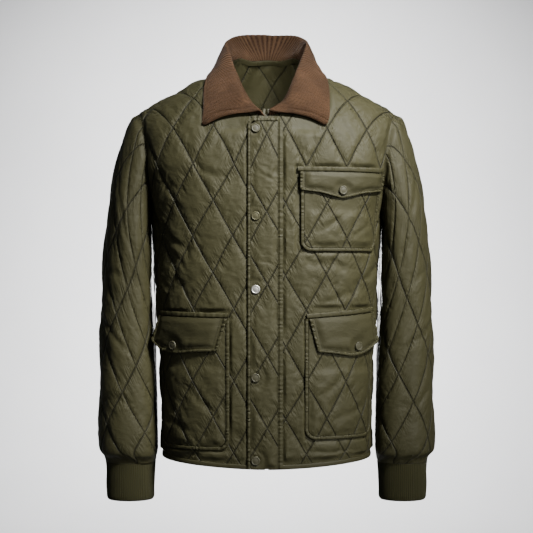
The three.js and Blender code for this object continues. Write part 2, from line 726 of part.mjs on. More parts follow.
// The collar rises from the neck seam, turns over at its fold and comes down as two leaves
function collar(neck) {
  const wall = new Wall('collar', CORD);
  const count = neck.length - 1;
  const marks = [0];
  for (let k = 1; k <= count; k += 1) {
    marks.push(marks[k - 1] + neck[k].outer.distanceTo(neck[k - 1].outer));
  }
  const half = marks[count] / 2;
  const grid = neck.map((n, k) => {
    const s = marks[k] <= half ? marks[k] / half : (marks[count] - marks[k]) / half;
    const sign = marks[k] <= half ? -1 : 1;
    const from = (table) => new THREE.Vector3(
      sign * read(table, 's', 'x', s) + COLLAR_SHIFT * (1 - smooth(s / 0.25)),
      read(table, 's', 'y', s), read(table, 's', 'z', s));
    const seam = n.outer.clone().add(n.inner).multiplyScalar(0.5);
    const fold = from(FOLD);
    const leaf = standOff(from(LEAF), COLLAR_CLEAR + 1);
    const stand = seam.clone().lerp(fold, 0.55);
    const over = leaf.clone().sub(fold);
    const puffed = (u, z) => standOff(
      fold.clone().addScaledVector(over, u).add(new THREE.Vector3(0, 0, z)), COLLAR_CLEAR + 2);
    const tip = 1 - smooth(s / 0.2);
    const list = [seam, stand, fold, puffed(0.12, lerp(3, 1, tip)), puffed(0.4, lerp(5, 6, tip)),
      puffed(0.7, lerp(3, 7, tip)), leaf];
    return new THREE.CatmullRomCurve3(list, false, 'centripetal');
  });
  const cuts = [0, 0.12, 0.24, 0.32, 0.4, 0.55, 0.7, 0.85, 1];
  const at = (k, c) => grid[Math.max(0, Math.min(count, k))].getPoint(c);
  const rows = cuts.map((c, j) => neck.map((n, k) => {
    if (j === 0) return { p: k, h: 0, id: wall.add(n.inner, n.outer) };
    const along = at(k + 1, c).sub(at(k - 1, c));
    const across = at(k, Math.min(1, c + 0.02)).sub(at(k, c - 0.02));
    const out = along.cross(across).normalize();
    const middle = at(k, c);
    const id = wall.add(middle.clone().addScaledVector(out, COLLAR_WALL / 2),
      middle.clone().addScaledVector(out, -COLLAR_WALL / 2));
    return { p: k, h: 0, id };
  }));
  for (let k = 0; k < rows.length - 1; k += 1) wall.zip(rows[k], rows[k + 1]);
  return wall;
}

// A band of even width beside a path on the cloth
function band(name, look, path, from, to, spot, wallThick, base) {
  const wall = new Wall(name, look);
  const turnAt = (k) => {
    const dir = (a, b) => new THREE.Vector2(path[b][0] - path[a][0], path[b][1] - path[a][1]).normalize();
    const last = path.length - 1;
    const before = dir(Math.max(0, k - 1), Math.max(1, k));
    const after = dir(Math.min(last - 1, k), Math.min(last, k + 1));
    const mean = before.clone().add(after).normalize();
    const reach = 1 / Math.max(0.5, mean.dot(before));
    return [-mean.y * reach, mean.x * reach];
  };
  const row = (off) => path.map(([p, r], k) => {
    const [a, b] = turnAt(k);
    const place = spot(p + a * off, r + b * off, k / (path.length - 1));
    return { p: k, h: 0, id: wall.lay(place, wallThick, base) };
  });
  wall.zip(row(from), row(to));
  return wall;
}

// A patch of quilted cloth on the body between two edges
function patch(name, look, cross, rs, left, right, spot, thick, base, quiet) {
  const wall = new Wall(name, look);
  const rows = rs.map((r) => {
    const [a, b] = [left(r), right(r)];
    return columns(a, b, cross).map((p) => {
      const near = Math.min(p - a, b - p, r - rs[0], rs.at(-1) - r);
      const h = padding(p, r, cross) * smooth(near / FADE) * quiet(p, r);
      return { p, h, id: wall.lay(spot(p, r), thick, base, PUFF * 0.85 * h) };
    });
  });
  for (let k = 0; k < rows.length - 1; k += 1) wall.zip(rows[k], rows[k + 1]);
  return wall;
}

// A snap cap: a low domed disc lying on the cloth
function snapCap(name, look, spot, base) {
  const profile = [[0, 0], [1, 0], [1, 0.45], [0.86, 0.8], [0.5, 1], [0, 1]];
  const sides = 10;
  const points = profile.map(([u, v]) => new THREE.Vector2(u * SNAP_RADIUS, v * SNAP_HIGH));
  const lathe = new THREE.LatheGeometry(points, sides);
  const turn = new THREE.Quaternion().setFromUnitVectors(new THREE.Vector3(0, 1, 0), spot.out);
  const at = spot.at.clone().addScaledVector(spot.out, base);
  lathe.applyMatrix4(new THREE.Matrix4().compose(at, turn, new THREE.Vector3(1, 1, 1)));
  const mesh = new THREE.Mesh(lathe, new THREE.MeshStandardMaterial(look));
  mesh.name = name;
  return mesh;
}

const jacket = new THREE.Group();
jacket.name = 'quilted_jacket';
const front = onTorso(-1);
const back = onTorso(1);
const left = frontPanel('frontLeft', CROSS.frontLeft, -1);
const right = frontPanel('frontRight', CROSS.frontRight, 1);
const rear = backPanel(CROSS.back);
for (const piece of [left, right, rear]) jacket.add(piece.wall.mesh());

// Armhole seams, from the underarm up the back to the shoulder and down the front
function armSeam(panel, rearSide, sign) {
  const mean = (a, b) => a.clone().add(b).multiplyScalar(0.5);
  const line = (skin) => {
    const f = panel.edge.arm.map((id) => panel.wall[skin][id]);
    const b = rear.edge.arm[rearSide].map((id) => rear.wall[skin][id]);
    const under = mean(f[0], b[0]);
    const tip = mean(f.at(-1), b.at(-1));
    return [under, ...b.slice(1, -1), tip, ...f.slice(1, -1).reverse(), under.clone()];
  };
  const inner = line('inner');
  return line('outer').map((v, k) => {
    const moved = v.clone().add(new THREE.Vector3(sign * ARM_GAP, 0, 0));
    moved.tip = k === rear.edge.arm[rearSide].length - 1;
    moved.through = inner[k].clone().sub(v);
    return moved;
  });
}
jacket.add(sleeve('sleeve_left', -1, armSeam(left, 0, -1)).mesh());
jacket.add(sleeve('sleeve_right', 1, armSeam(right, 1, 1)).mesh());
jacket.add(cuff('cuff_left', -1).mesh(), cuff('cuff_right', 1).mesh());

// Neck seam, from the left front round the nape to the right front
function neckSeam() {
  const take = (piece, ids) => ids.map((id) => ({
    outer: piece.wall.outer[id], inner: piece.wall.inner[id],
  }));
  const meanOf = (a, b) => ({
    outer: a.outer.clone().add(b.outer).multiplyScalar(0.5),
    inner: a.inner.clone().add(b.inner).multiplyScalar(0.5),
  });
  const [l, r] = [take(left, left.edge.neck), take(right, right.edge.neck)];
  const [bl, br] = rear.edge.neck.map((ids) => take(rear, ids));
  const list = [...l.slice(0, -1), meanOf(l.at(-1), bl.at(-1)), ...bl.slice(0, -1).reverse(),
    ...br.slice(1, -1), meanOf(br.at(-1), r.at(-1)), ...r.slice(0, -1).reverse()];
  return list.map((n, k) => {
    const along = list[Math.min(list.length - 1, k + 1)].outer.clone()
      .sub(list[Math.max(0, k - 1)].outer);
    const up = n.outer.clone().sub(n.inner).cross(along).normalize();
    const heart = new THREE.Vector3(0, -10, 10).sub(n.outer);
    if (up.dot(heart) < 0) up.negate();
    return {
      outer: n.outer.clone().addScaledVector(up, SEAM + 0.1),
      inner: n.inner.clone().addScaledVector(up, SEAM + 0.1),
    };
  });
}
jacket.add(collar(neckSeam()).mesh());

// Placket over the zip
const over = WALL + LAY;
const plLeft = (r) => {
  const u = Math.max(0, 1 - (PLACKET_TOP - PLACKET_BINDING - r) / PLACKET_CORNER);
  return PLACKET_LEFT + PLACKET_BINDING + SEAM + PLACKET_CORNER * (1 - Math.sqrt(1 - Math.min(1, u) ** 2));
};
const plRight = () => PLACKET_RIGHT - PLACKET_STRIP - SEAM;
const plTop = PLACKET_TOP - PLACKET_BINDING - SEAM;
const bySnap = (p, r) => Math.min(1, ...SNAPS_R.map(
  (s) => smooth((Math.hypot(p - SNAP_P, r - s) - 22) / 10)));
const bust = [CHEST + 8, CHEST + 38, CHEST + 68];
const plRows = levels(HEM_FRONT + 2, plTop, CROSS.placket, [...bust.slice(0, 2), plTop - 4,
  plTop - PLACKET_CORNER], STEP_R, 7);
jacket.add(patch('placket', SHELL, CROSS.placket, plRows, plLeft, plRight, front, WALL, over,
  bySnap).mesh());
const edgeLine = (from, to, at) => levels(from, to, CROSS.placket, bust.slice(0, 2), STEP_R, 7)
  .map((r) => [at, r]);
const bend = [0, 0.33, 0.67, 1].map((u) => {
  const angle = (Math.PI / 2) * u;
  return [PLACKET_LEFT + PLACKET_CORNER * (1 - Math.cos(angle)),
    PLACKET_TOP - PLACKET_CORNER * (1 - Math.sin(angle))];
});
const bindPath = [...edgeLine(HEM_FRONT + 2, PLACKET_TOP - PLACKET_CORNER, PLACKET_LEFT).slice(0, -1),
  ...bend, [-6, PLACKET_TOP], [8, PLACKET_TOP], [plRight(), PLACKET_TOP]];
jacket.add(band('placket_binding', SHELL, bindPath, 0, -PLACKET_BINDING, front, WALL + 0.8,
  over + 0.4).mesh());
const strip = edgeLine(HEM_FRONT + 2, PLACKET_TOP - 4, PLACKET_RIGHT);
jacket.add(band('placket_edge', SHELL, strip, 0, PLACKET_STRIP, front, WALL, over).mesh());

// Zip between the fronts
const zipRows = levels(HEM_FRONT + 6, FRONT_NECK + 3, CROSS.placket, bust, STEP_R, 7);
jacket.add(patch('zip', KNIT, CROSS.placket, zipRows, () => -ZIP_HALF, () => ZIP_HALF, front, 2.4, 0,
  () => 0).mesh());

// Hem binding all round
function hemBinding() {
  const wall = new Wall('hem_binding', SHELL);
  const sides = [[-1, -1], [1, -1], [1, 1], [-1, 1]];
  const marks = [];
  for (const [side, sign] of sides) {
    const total = sideArc(HEM_FRONT, side);
    const cross = side > 0 ? CROSS.back : sign < 0 ? CROSS.frontLeft : CROSS.frontRight;
    const start = side < 0 ? ZIP_HALF + SEAM : 0;
    const list = columns(start, total, { p: Math.abs(cross.p) });
    const run = side < 0 === sign < 0 ? list : [...list].reverse();
    for (const p of run) marks.push({ side, p: sign * p });
  }
  const ordered = marks.filter((m, k) => k === 0
    || torso(m.p, HEM_FRONT, m.side).distanceTo(torso(marks[k - 1].p, HEM_FRONT, marks[k - 1].side)) > 1);
  const row = (top) => ordered.map(({ side, p }, k) => {
    const r = hemR(p, side) + top;
    return { p: k, h: 0, id: wall.lay(onTorso(side)(p, r), HEM_WALL) };
  });
  wall.zip(row(0), row(HEM_EDGE - SEAM));
  return wall;
}
jacket.add(hemBinding().mesh());

// Tape inside the back neck
const tapePath = [];
for (const sign of [-1, 1]) {
  const list = [0.12, 0.3, 0.5, 0.7, 0.86].map((u) => {
    const r = lerp(BACK_NECK, apexR(1), 1 - Math.sqrt(1 - u * u));
    return [sign * neckEdge(r, 1), r];
  });
  tapePath.push(...(sign < 0 ? list.reverse() : list));
}
jacket.add(band('neck_tape', SHELL, tapePath, -1.5, -1.5 - TAPE_WIDE, back, 1.2,
  -WALL / 2 - 2.4).mesh());

// Pockets
for (const k of POCKETS) {
  const cross = CROSS[k.panel];
  const nearP = roundTo(k.near, k.low);
  const farP = roundTo(k.far, k.high);
  const sign = k.sign;
  const edge = (r, corner, to) => {
    const u = Math.min(1, Math.max(0, 1 - (r - k.low) / corner));
    return to * corner * (1 - Math.sqrt(1 - u * u));
  };
  const nearAt = (r) => nearP + LAY + edge(r, k.corner + 1, 1);
  const farAt = (r) => farP - LAY + edge(r, k.farCorner + 1, -1);
  const ends = sign > 0 ? [nearAt, farAt] : [(r) => -farAt(r), (r) => -nearAt(r)];
  const flapLow = Math.min(...k.flap.map((f) => f[1]));
  const open = (p, r) => smooth((flapLow - STEP_R * 0.6 - r) / 16);
  const rs = levels(k.low + LAY, k.high, cross, [k.low + 4, k.low + k.corner, flapLow - 6]);
  jacket.add(patch(`${k.name}_bag`, SHELL, cross, rs, ...ends, front, WALL, over, open).mesh());
  const arcs = (corner, center, dir) => [0.15, 0.5, 0.85].map((u) => {
    const angle = (Math.PI / 2) * u;
    return dir > 0 ? [center - corner * Math.cos(angle), k.low + corner * (1 - Math.sin(angle))]
      : [center + corner * Math.sin(angle), k.low + corner * (1 - Math.cos(angle))];
  });
  const down = levels(k.low + k.corner, k.high, cross).reverse().map((r) => [nearP, r]);
  const up = levels(k.low + k.farCorner, k.high, cross).map((r) => [farP, r]);
  const floor = columns(nearP + k.corner, farP - k.farCorner, { p: Math.abs(cross.p) }, STEP_P / 2)
    .map((p) => [p, k.low]);
  const path = [...down.slice(0, -1), ...arcs(k.corner, nearP + k.corner, 1), ...floor.slice(1, -1),
    ...arcs(k.farCorner, farP - k.farCorner, -1), ...up.slice(1)].map(([p, r]) => [sign * p, r]);
  jacket.add(band(`${k.name}_piping`, SHELL, path, 0, -sign * PIPING, front, WALL + 0.6,
    over + 0.3).mesh());

  // Flap with its binding, the welt above it and the snap
  const top = (p) => k.high - 0.3 + k.rise * ((p - nearP) / (farP - nearP));
  const corners = k.flap.map(([x, z]) => [roundTo(x, z), z]);
  const low = corners.flatMap(([p, z], j) => {
    if (j === 0) return [[p, z]];
    const [p0, z0] = corners[j - 1];
    const parts = Math.ceil((p - p0) / (p > 120 ? 13 : 20));
    return Array.from({ length: parts }, (_, m) => [lerp(p0, p, (m + 1) / parts),
      lerp(z0, z, (m + 1) / parts)]);
  });
  const high = low.map(([p], j) => {
    const u = j / (low.length - 1);
    return lerp(p - k.slant, p + (k.flare ? -4 : 1), u);
  });
  const lap = over + WALL + LAY + 0.5;
  const hang = (spot, u, v) => {
    const lift = k.flare * Math.max(0, u - 0.45) ** 2 * 3.3 * v;
    spot.at.addScaledVector(spot.out, lift);
    return spot;
  };
  const flap = new Wall(`${k.name}_flap`, SHELL);
  const bind = new Wall(`${k.name}_flap_binding`, SHELL);
  const place = (u, v) => {
    const j = Math.min(low.length - 2, Math.floor(u * (low.length - 1)));
    const w = u * (low.length - 1) - j;
    const p0 = lerp(high[j], high[j + 1], w);
    const p1 = lerp(low[j][0], low[j + 1][0], w);
    const p = lerp(p0, p1, v);
    const r = lerp(top(p0), lerp(low[j][1], low[j + 1][1], w), v);
    return hang(front(sign * p, r), u, v);
  };
  const wide = low.at(-1)[0] - low[0][0];
  const tall = k.high - flapLow;
  const [bu, bv] = [4.6 / wide, 4.6 / tall];
  const inU = [bu, ...low.slice(1, -1).map((_, j) => (j + 1) / (low.length - 1)), 1 - bu];
  const vs = [0, 0.5, 1 - bv];
  const flapRows = vs.map((v) => inU.map((u) => ({
    p: u, h: 0, id: flap.lay(place(u, v), WALL, lap, 0.8 * Math.sin(Math.PI * v)),
  })));
  for (let j = 0; j < flapRows.length - 1; j += 1) flap.zip(flapRows[j], flapRows[j + 1]);
  const gu = SEAM / wide;
  const gv = SEAM / tall;
  const inside = [...vs.map((v) => [bu - gu, Math.min(v, 1 - bv + gv)]),
    ...inU.slice(1, -1).map((u) => [u, 1 - bv + gv]),
    ...[...vs].reverse().map((v) => [1 - bu + gu, Math.min(v, 1 - bv + gv)])];
  const outside = [...vs.slice(0, -1).map((v) => [0, v]), [0, 1],
    ...inU.slice(1, -1).map((u) => [u, 1]), [1, 1], ...vs.slice(0, -1).reverse().map((v) => [1, v])];
  const bandRow = (list) => list.map(([u, v], j) => ({
    p: j, h: 0, id: bind.lay(place(u, v), WALL + 0.6, lap + 0.1),
  }));
  bind.zip(bandRow(inside), bandRow(outside));
  jacket.add(flap.mesh(), bind.mesh());
  const weltPath = columns(roundTo(k.welt[0], k.high), roundTo(k.welt[1], k.high),
    { p: Math.abs(cross.p) }).map((p) => [sign * p, top(p) + 0.7]);
  jacket.add(band(`${k.name}_welt`, SHELL, weltPath, 0, sign * WELT_TALL, front, 3.6,
    over + 0.9).mesh());
  const snapU = (roundTo(...k.snap) - low[0][0]) / wide;
  const snapV = (k.high - k.snap[1]) / tall;
  jacket.add(snapCap(`${k.name}_snap`, SNAP, place(snapU, snapV), lap + WALL / 2 + 1.5));
}

SNAPS_R.forEach((r, k) => {
  const look = k === 2 ? METAL : SNAP;
  jacket.add(snapCap(`placket_snap_${k + 1}`, look, front(SNAP_P, r), over + WALL / 2 + 0.5));
});

export default jacket;
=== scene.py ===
"""Looks of a quilted jacket with a corduroy collar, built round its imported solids.

Every piece is a numpy surface in the frame's own millimetres. Body cloth is placed by p, the
distance round the body from the centre line, and r, the distance up the cloth.
"""

import math

import bpy
import numpy as np
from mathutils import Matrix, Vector


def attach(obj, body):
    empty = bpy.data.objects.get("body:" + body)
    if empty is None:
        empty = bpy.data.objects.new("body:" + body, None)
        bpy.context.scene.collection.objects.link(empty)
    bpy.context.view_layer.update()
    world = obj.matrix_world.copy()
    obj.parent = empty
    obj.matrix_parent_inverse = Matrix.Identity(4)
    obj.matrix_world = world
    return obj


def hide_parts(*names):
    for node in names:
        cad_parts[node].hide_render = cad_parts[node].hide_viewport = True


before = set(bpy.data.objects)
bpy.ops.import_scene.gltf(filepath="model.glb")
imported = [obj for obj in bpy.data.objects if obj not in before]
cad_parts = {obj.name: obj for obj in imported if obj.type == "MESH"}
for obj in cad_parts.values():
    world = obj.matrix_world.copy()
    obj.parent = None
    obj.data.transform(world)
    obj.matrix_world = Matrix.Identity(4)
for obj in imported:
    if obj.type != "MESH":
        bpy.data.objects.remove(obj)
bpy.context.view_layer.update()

bl_info = {
    "name": "Quilted jacket",
    "version": (1, 0, 0),
    "blender": (4, 5, 0),
    "location": "3D View > Sidebar > Jacket",
    "description": "Quilted jacket with a corduroy collar, patch pockets and rib-knit cuffs",
    "category": "Object",
}

MM = 0.001

# Cloth
WALL = 2.2
PUFF = 5.2
SEAM = 0.3
LAY = 0.7
OVER = WALL + LAY
DIAMOND_WIDE = 69.0
DIAMOND_TALL = 120.6
SIDE_MM = math.hypot(DIAMOND_WIDE, DIAMOND_TALL) / 4
LINE_MM = DIAMOND_WIDE * DIAMOND_TALL / 8 / SIDE_MM
FADE = 13.0
# lowest that puckers and folds press the padding below the wall's own skin
DEEPEST = -0.9
# wave length along the stitched line, reach out from it, height, lean
PUCKERS = ((4.2, 9.0, 1.3, 0.35), (8.0, 16.0, 1.9, -0.3), (19.0, 28.0, 1.8, 0.2))
CRUMPLE = 0.7

# Torso
CHEST = -177.3
MID_BODY = -400.0
UNDERARM = -267.75
HEM_FRONT = -684.0
HEM_RISE = 12.0
NECK_HALF = 79.0
FRONT_NECK = -102.0
BACK_NECK = 18.0
# rows below the neck, rows beside it, columns from the inner edge to the outer one
FRONT_GRID = (249, 72, 127)
BACK_GRID = (234, 24, 109)
ARMHOLE_DEPTH = 68.0
ARM_GAP = 0.5
SHOULDER_FLARE = 0.11
SHOULDER_SLOPE = 0.56
SHOULDER_ROUND = 60.0
SHOULDER_TOP = 16.5
NAPE_RISE = 55.0
SEAM_LEVEL = 19.0
# height, half width, depth to the front, depth to the back, squareness
TORSO = np.array([
    (-710, 179, 121, 121, 2.5), (-665, 179.5, 123, 122, 2.5), (-577, 180, 127, 127, 2.5),
    (-490, 183, 130, 131, 2.5), (-402, 188.5, 132, 135, 2.55), (-315, 191.5, 134, 139, 2.6),
    (-255, 196, 134, 140, 2.75), (-228, 201, 133.5, 140, 2.85), (-177.3, 212, 132, 139, 3),
])
# one crossing of stitched lines on each piece, p and r
CROSS = {
    "front_left": (-21.0, -113.0), "front_right": (32.0, -117.0), "back": (0.0, -117.0),
    "placket": (1.0, -131.6), "inner_back": (10.0, -38.0), "sleeve_left": (81.0, -30.0),
    "sleeve_right": (76.0, -48.0),
}

# Sleeves
SLEEVE_OUTER = (
    (226.5, -83), (235, -91), (243.5, -109), (252, -133), (258, -155), (263, -180), (269, -216),
    (276, -270), (282, -340), (285.5, -430), (287, -510), (287.5, -590), (288, -640), (287, -661),
    (280, -673.5), (278.5, -681.4),
)
SLEEVE_INNER = (
    (198.6, -267.75), (203, -279), (203, -300), (201.5, -330), (199, -402), (195, -490),
    (192, -577), (190.5, -640), (190.5, -662), (193, -674), (194, -681.4),
)
# share of the length, half depth, shift to the back
SLEEVE_DEPTH = np.array([
    (0, 70, 0), (0.1, 78, 3), (0.22, 80, 4), (0.4, 72, 2), (0.6, 64, -3), (0.8, 58, -8),
    (0.95, 53, -12), (1, 41.5, -13),
])
SLEEVE_PUFF = 4.6
SLEEVE_PUCKER = 0.6
SLEEVE_FOLD = 0.55
# rows down the sleeve and columns round it
SLEEVE_GRID = (283, 184)

# Cuffs: height, half width, half depth, relief of the ribs
CUFF = np.array([
    (-747.5, 37, 36.5, 0.2), (-745, 38.6, 38.1, 0.7), (-740, 39.5, 39, 1.0), (-700, 40.5, 40, 1.0),
    (-686, 41.2, 40.7, 0.7), (-682.2, 42, 41.5, 0.3),
])
CUFF_X = 236.5
CUFF_WALL = 3.0
CUFF_RIBS = 76

# Placket, zip, hem and neck trims
PLACKET_LEFT = -31.5
PLACKET_RIGHT = 27.0
PLACKET_BINDING = 5.0
PLACKET_STRIP = 8.0
PLACKET_TOP = -106.5
PLACKET_CORNER = 11.0
# rows up the placket and columns across it
PLACKET_GRID = (292, 25)
SNAPS_R = (-122.5, -260.0, -382.0, -529.0, -668.0)
SNAP_P = -18.0
SNAP_RADIUS = 7.6
SNAP_HIGH = 2.6
ZIP_HALF = 2.4
HEM_EDGE = 7.0
HEM_WALL = 3.4
TAPE_WIDE = 10.0

# Pockets as seen from the front
PIPING = 5.5
WELT_TALL = 8.0
POCKETS = (
    dict(name="chest_pocket", sign=1, panel="front_right", near=62, far=188, low=-313, high=-186,
         corner=12, far_corner=12, rise=0, flare=0, snap=(125.3, -216.5), slant=0,
         flap=((55, -217), (88.5, -221), (112, -227.5), (125.3, -230.5), (137, -227.5),
               (156, -221.5), (190, -215)), welt=(52, 190)),
    dict(name="pocket_left", sign=-1, panel="front_left", near=67, far=176, low=-646, high=-430,
         corner=13, far_corner=20, rise=3, flare=15, snap=(150, -477), slant=16,
         flap=((80, -485), (96, -486), (112, -486.5), (138, -489.5), (152, -491), (168, -485),
               (176.5, -469)), welt=(63, 176.5)),
    dict(name="pocket_right", sign=1, panel="front_right", near=69, far=176, low=-628, high=-431,
         corner=13, far_corner=20, rise=10, flare=9, snap=(148, -480), slant=15,
         flap=((84, -487), (99, -488.5), (113, -490), (138, -495), (151, -494), (166, -486),
               (176.5, -470)), welt=(67, 176.5)),
)

# Collar, from the front end at 0 round to the middle of the back at 1: share, x, y, z
FOLD = np.array([
    (0, 8, -126, -84), (0.1, 17, -117, -77), (0.2, 27, -103, -66), (0.35, 40, -88, -44),
    (0.5, 51, -66, -15), (0.6, 60, -42, 8), (0.67, 67, -13, 31), (0.77, 71, 18, 49),
    (0.87, 66, 50, 60), (0.94, 44, 68, 69), (1, 0, 75, 71),
])
LEAF = np.array([
    (0, 103, -112, -113), (0.15, 104.5, -106, -97), (0.3, 104, -94, -78), (0.45, 103.5, -74, -56),
    (0.57, 101, -48, -34), (0.67, 97, -8, -9), (0.77, 94, 32, -4), (0.87, 80, 74, 3),
    (0.94, 48, 97, 10), (1, 0, 106, 13),
])
COLLAR_WALL = 2.6
COLLAR_CLEAR = 4.0
COLLAR_SHIFT = -3.0
COLLAR_POINT = 9.0
COLLAR_STEP = 0.78
COLLAR_ROWS = 73
WALE = 4.2


def smooth(u):
    """Rises from 0 to 1 with level ends: 3u squared less 2u cubed."""
    c = np.clip(u, 0.0, 1.0)
    return c * c * (3 - 2 * c)


def lerp(a, b, u):
    """The point a share u of the way from a to b."""
    return a + (b - a) * u


def read(table, column, at):
    """A smooth curve through a table's rows: each span is a cubic with its ends' mean slopes."""
    at = np.asarray(at, float)
    key, value = table[:, 0], table[:, column]
    slope = np.empty(len(key))
    slope[1:-1] = (value[2:] - value[:-2]) / (key[2:] - key[:-2])
    slope[0] = (value[1] - value[0]) / (key[1] - key[0])
    slope[-1] = (value[-1] - value[-2]) / (key[-1] - key[-2])
    i = np.clip(np.searchsorted(key, at, side="left") - 1, 0, len(key) - 2)
    span = key[i + 1] - key[i]
    u = np.clip((at - key[i]) / span, 0, 1)
    return ((2 * u**3 - 3 * u**2 + 1) * value[i] + (u**3 - 2 * u**2 + u) * slope[i] * span
            + (3 * u**2 - 2 * u**3) * value[i + 1] + (u**3 - u**2) * slope[i + 1] * span)


def scatter(i, j, seed):
    """A fixed number from -1 to 1 for each pair of whole numbers, by mixing their bits."""
    n = (i.astype(np.int64) * 374761393 + j.astype(np.int64) * 668265263 + seed * 974634777)
    n &= 0xFFFFFFFF
    n = ((n ^ (n >> 13)) * 1274126177) & 0xFFFFFFFF
    n = n ^ (n >> 16)
    return (n & 0xFFFF) / 32767.5 - 1.0


def noise(x, y, seed):
    """Soft hills from -1 to 1: the four corner values of each cell, blended smoothly."""
    x, y = np.broadcast_arrays(np.asarray(x, float), np.asarray(y, float))
    i, j = np.floor(x), np.floor(y)
    u, v = smooth(x - i), smooth(y - j)
    low = lerp(scatter(i, j, seed), scatter(i + 1, j, seed), u)
    high = lerp(scatter(i, j + 1, seed), scatter(i + 1, j + 1, seed), u)
    return lerp(low, high, v)


def unit(v):
    """Vectors scaled to length one."""
    return v / np.maximum(np.linalg.norm(v, axis=-1, keepdims=True), 1e-9)


def bilinear(grid, i, j):
    """Values between a grid's points, weighted by how near each of the four corners is."""
    i0 = np.clip(np.floor(i).astype(int), 0, grid.shape[0] - 2)
    j0 = np.clip(np.floor(j).astype(int), 0, grid.shape[1] - 2)
    u, v = np.clip(i - i0, 0, 1), np.clip(j - j0, 0, 1)
    low = lerp(grid[i0, j0], grid[i0, j0 + 1], v)
    high = lerp(grid[i0 + 1, j0], grid[i0 + 1, j0 + 1], v)
    return lerp(low, high, u)


def through(points, count=60):
    """A centripetal curve through the points: cubic spans whose speed is the root of the chord."""
    q = np.asarray(points, float)
    q = np.concatenate([[2 * q[0] - q[1]], q, [2 * q[-1] - q[-2]]])
    chord = np.sqrt(np.maximum(np.linalg.norm(np.diff(q, axis=0), axis=-1), 1e-6))[..., None]
    a, b, c, d = q[:-3], q[1:-2], q[2:-1], q[3:]
    s, m, e = chord[:-2], chord[1:-1], chord[2:]
    t1 = ((b - a) / s - (c - a) / (s + m) + (c - b) / m) * m
    t2 = ((c - b) / m - (d - b) / (m + e) + (d - c) / e) * m
    w = np.arange(count) / count
    w = w.reshape((1, count) + (1,) * (q.ndim - 1))
    b, c, t1, t2 = (v[:, None] for v in (b, c, t1, t2))
    span = ((2 * w**3 - 3 * w**2 + 1) * b + (w**3 - 2 * w**2 + w) * t1
            + (3 * w**2 - 2 * w**3) * c + (w**3 - w**2) * t2)
    flat = span.reshape((-1,) + q.shape[1:])
    return np.concatenate([flat, q[-2:-1]])


def lengths(line):
    """Distance along a line of points."""
    return np.concatenate([[0], np.cumsum(np.linalg.norm(np.diff(line, axis=0), axis=-1))])


def along(line, share):
    """Points at shares of a line's length."""
    mark = lengths(line)
    return np.stack([np.interp(share * mark[-1], mark, v) for v in line.T], -1)


# The body's outline at each height, kept as x and y for even steps round one quarter
LEVELS = np.linspace(-712, CHEST, 270)
ROUND = 400


def quarter(z, side):
    """One quarter of a squared ellipse: x and y as powers of sine and cosine, and their length."""
    power = 2 / read(TORSO, 4, z)
    angle = np.linspace(0, np.pi / 2, 361)
    x = read(TORSO, 1, z) * np.sin(angle) ** power
    y = read(TORSO, 2 if side < 0 else 3, z) * np.maximum(np.cos(angle), 0) ** power
    y[-1] = 0
    return x, y, lengths(np.stack([x, y], -1))


def quarter_tables(side):
    """x, y and total length of the quarter outline at every level."""
    xs, ys, totals = [], [], []
    for z in LEVELS:
        x, y, arc = quarter(z, side)
        at = np.linspace(0, arc[-1], ROUND)
        xs.append(np.interp(at, arc, x))
        ys.append(np.interp(at, arc, y))
        totals.append(arc[-1])
    return np.array(xs), np.array(ys), np.array(totals)


TABLES = {-1: quarter_tables(-1), 1: quarter_tables(1)}


def side_arc(z, side):
    """Distance round the cloth from the centre line to the side seam."""
    return np.interp(np.minimum(z, CHEST), LEVELS, TABLES[side][2])


def ring_point(z, side, p):
    """The body's outline at a height, at distance p from the centre, going on past the side."""
    row = (np.minimum(z, CHEST) - LEVELS[0]) / (LEVELS[1] - LEVELS[0])
    arc = np.abs(p)
    own, other = side_arc(z, side), side_arc(z, -side)
    past = arc > own
    here = np.clip(arc / own, 0, 1) * (ROUND - 1)
    there = np.clip((other - (arc - own)) / other, 0, 1) * (ROUND - 1)
    (own_x, own_y, _), (other_x, other_y, _) = TABLES[side], TABLES[-side]
    x = np.where(past, bilinear(other_x, row, there), bilinear(own_x, row, here))
    y = np.where(past, -bilinear(other_y, row, there), bilinear(own_y, row, here))
    return x, y


def ridge(x, side):
    """Height of the shoulder line, raised at the nape behind the neck."""
    run = np.hypot(x, SHOULDER_ROUND) - SHOULDER_ROUND
    nape = NAPE_RISE * np.cos(np.pi / 2 * np.clip(np.abs(x) / NECK_HALF, 0, 1)) ** 2
    return SHOULDER_TOP - SHOULDER_SLOPE * run + (nape if side > 0 else 0)


def cap_length(p, side):
    """Length of cloth from the chest over to the shoulder line: a quarter ellipse."""
    x, y = ring_point(np.full(np.shape(p), CHEST), side, p)
    return np.pi / 2 * np.hypot(y, ridge(x, side) - CHEST) / math.sqrt(2)


def solve(lo, hi, f, want):
    """Where a falling function meets a level, by halving the span."""
    for _ in range(40):
        mid = (lo + hi) / 2
        if f(mid) > want:
            lo = mid
        else:
            hi = mid
    return (lo + hi) / 2


ARM_FRONT = solve(0, float(side_arc(CHEST, -1)),
                  lambda p: float(ring_point(np.array(CHEST), -1, p)[1]), ARMHOLE_DEPTH)
ARM_X = float(ring_point(np.array(CHEST), -1, ARM_FRONT)[0])
ARM_BACK = solve(0, float(side_arc(CHEST, 1)),
                 lambda p: -float(ring_point(np.array(CHEST), 1, p)[0]), -ARM_X)
ARM_P = {-1: ARM_FRONT, 1: ARM_BACK}


def tip_r(side):
    """How far up the cloth the armhole meets the shoulder."""
    return CHEST + float(cap_length(np.array(ARM_P[side]), side))


def apex_r(side):
    """How far up the cloth the neck meets the shoulder."""
    return CHEST + float(cap_length(np.array(NECK_HALF), side)) - SEAM / 2


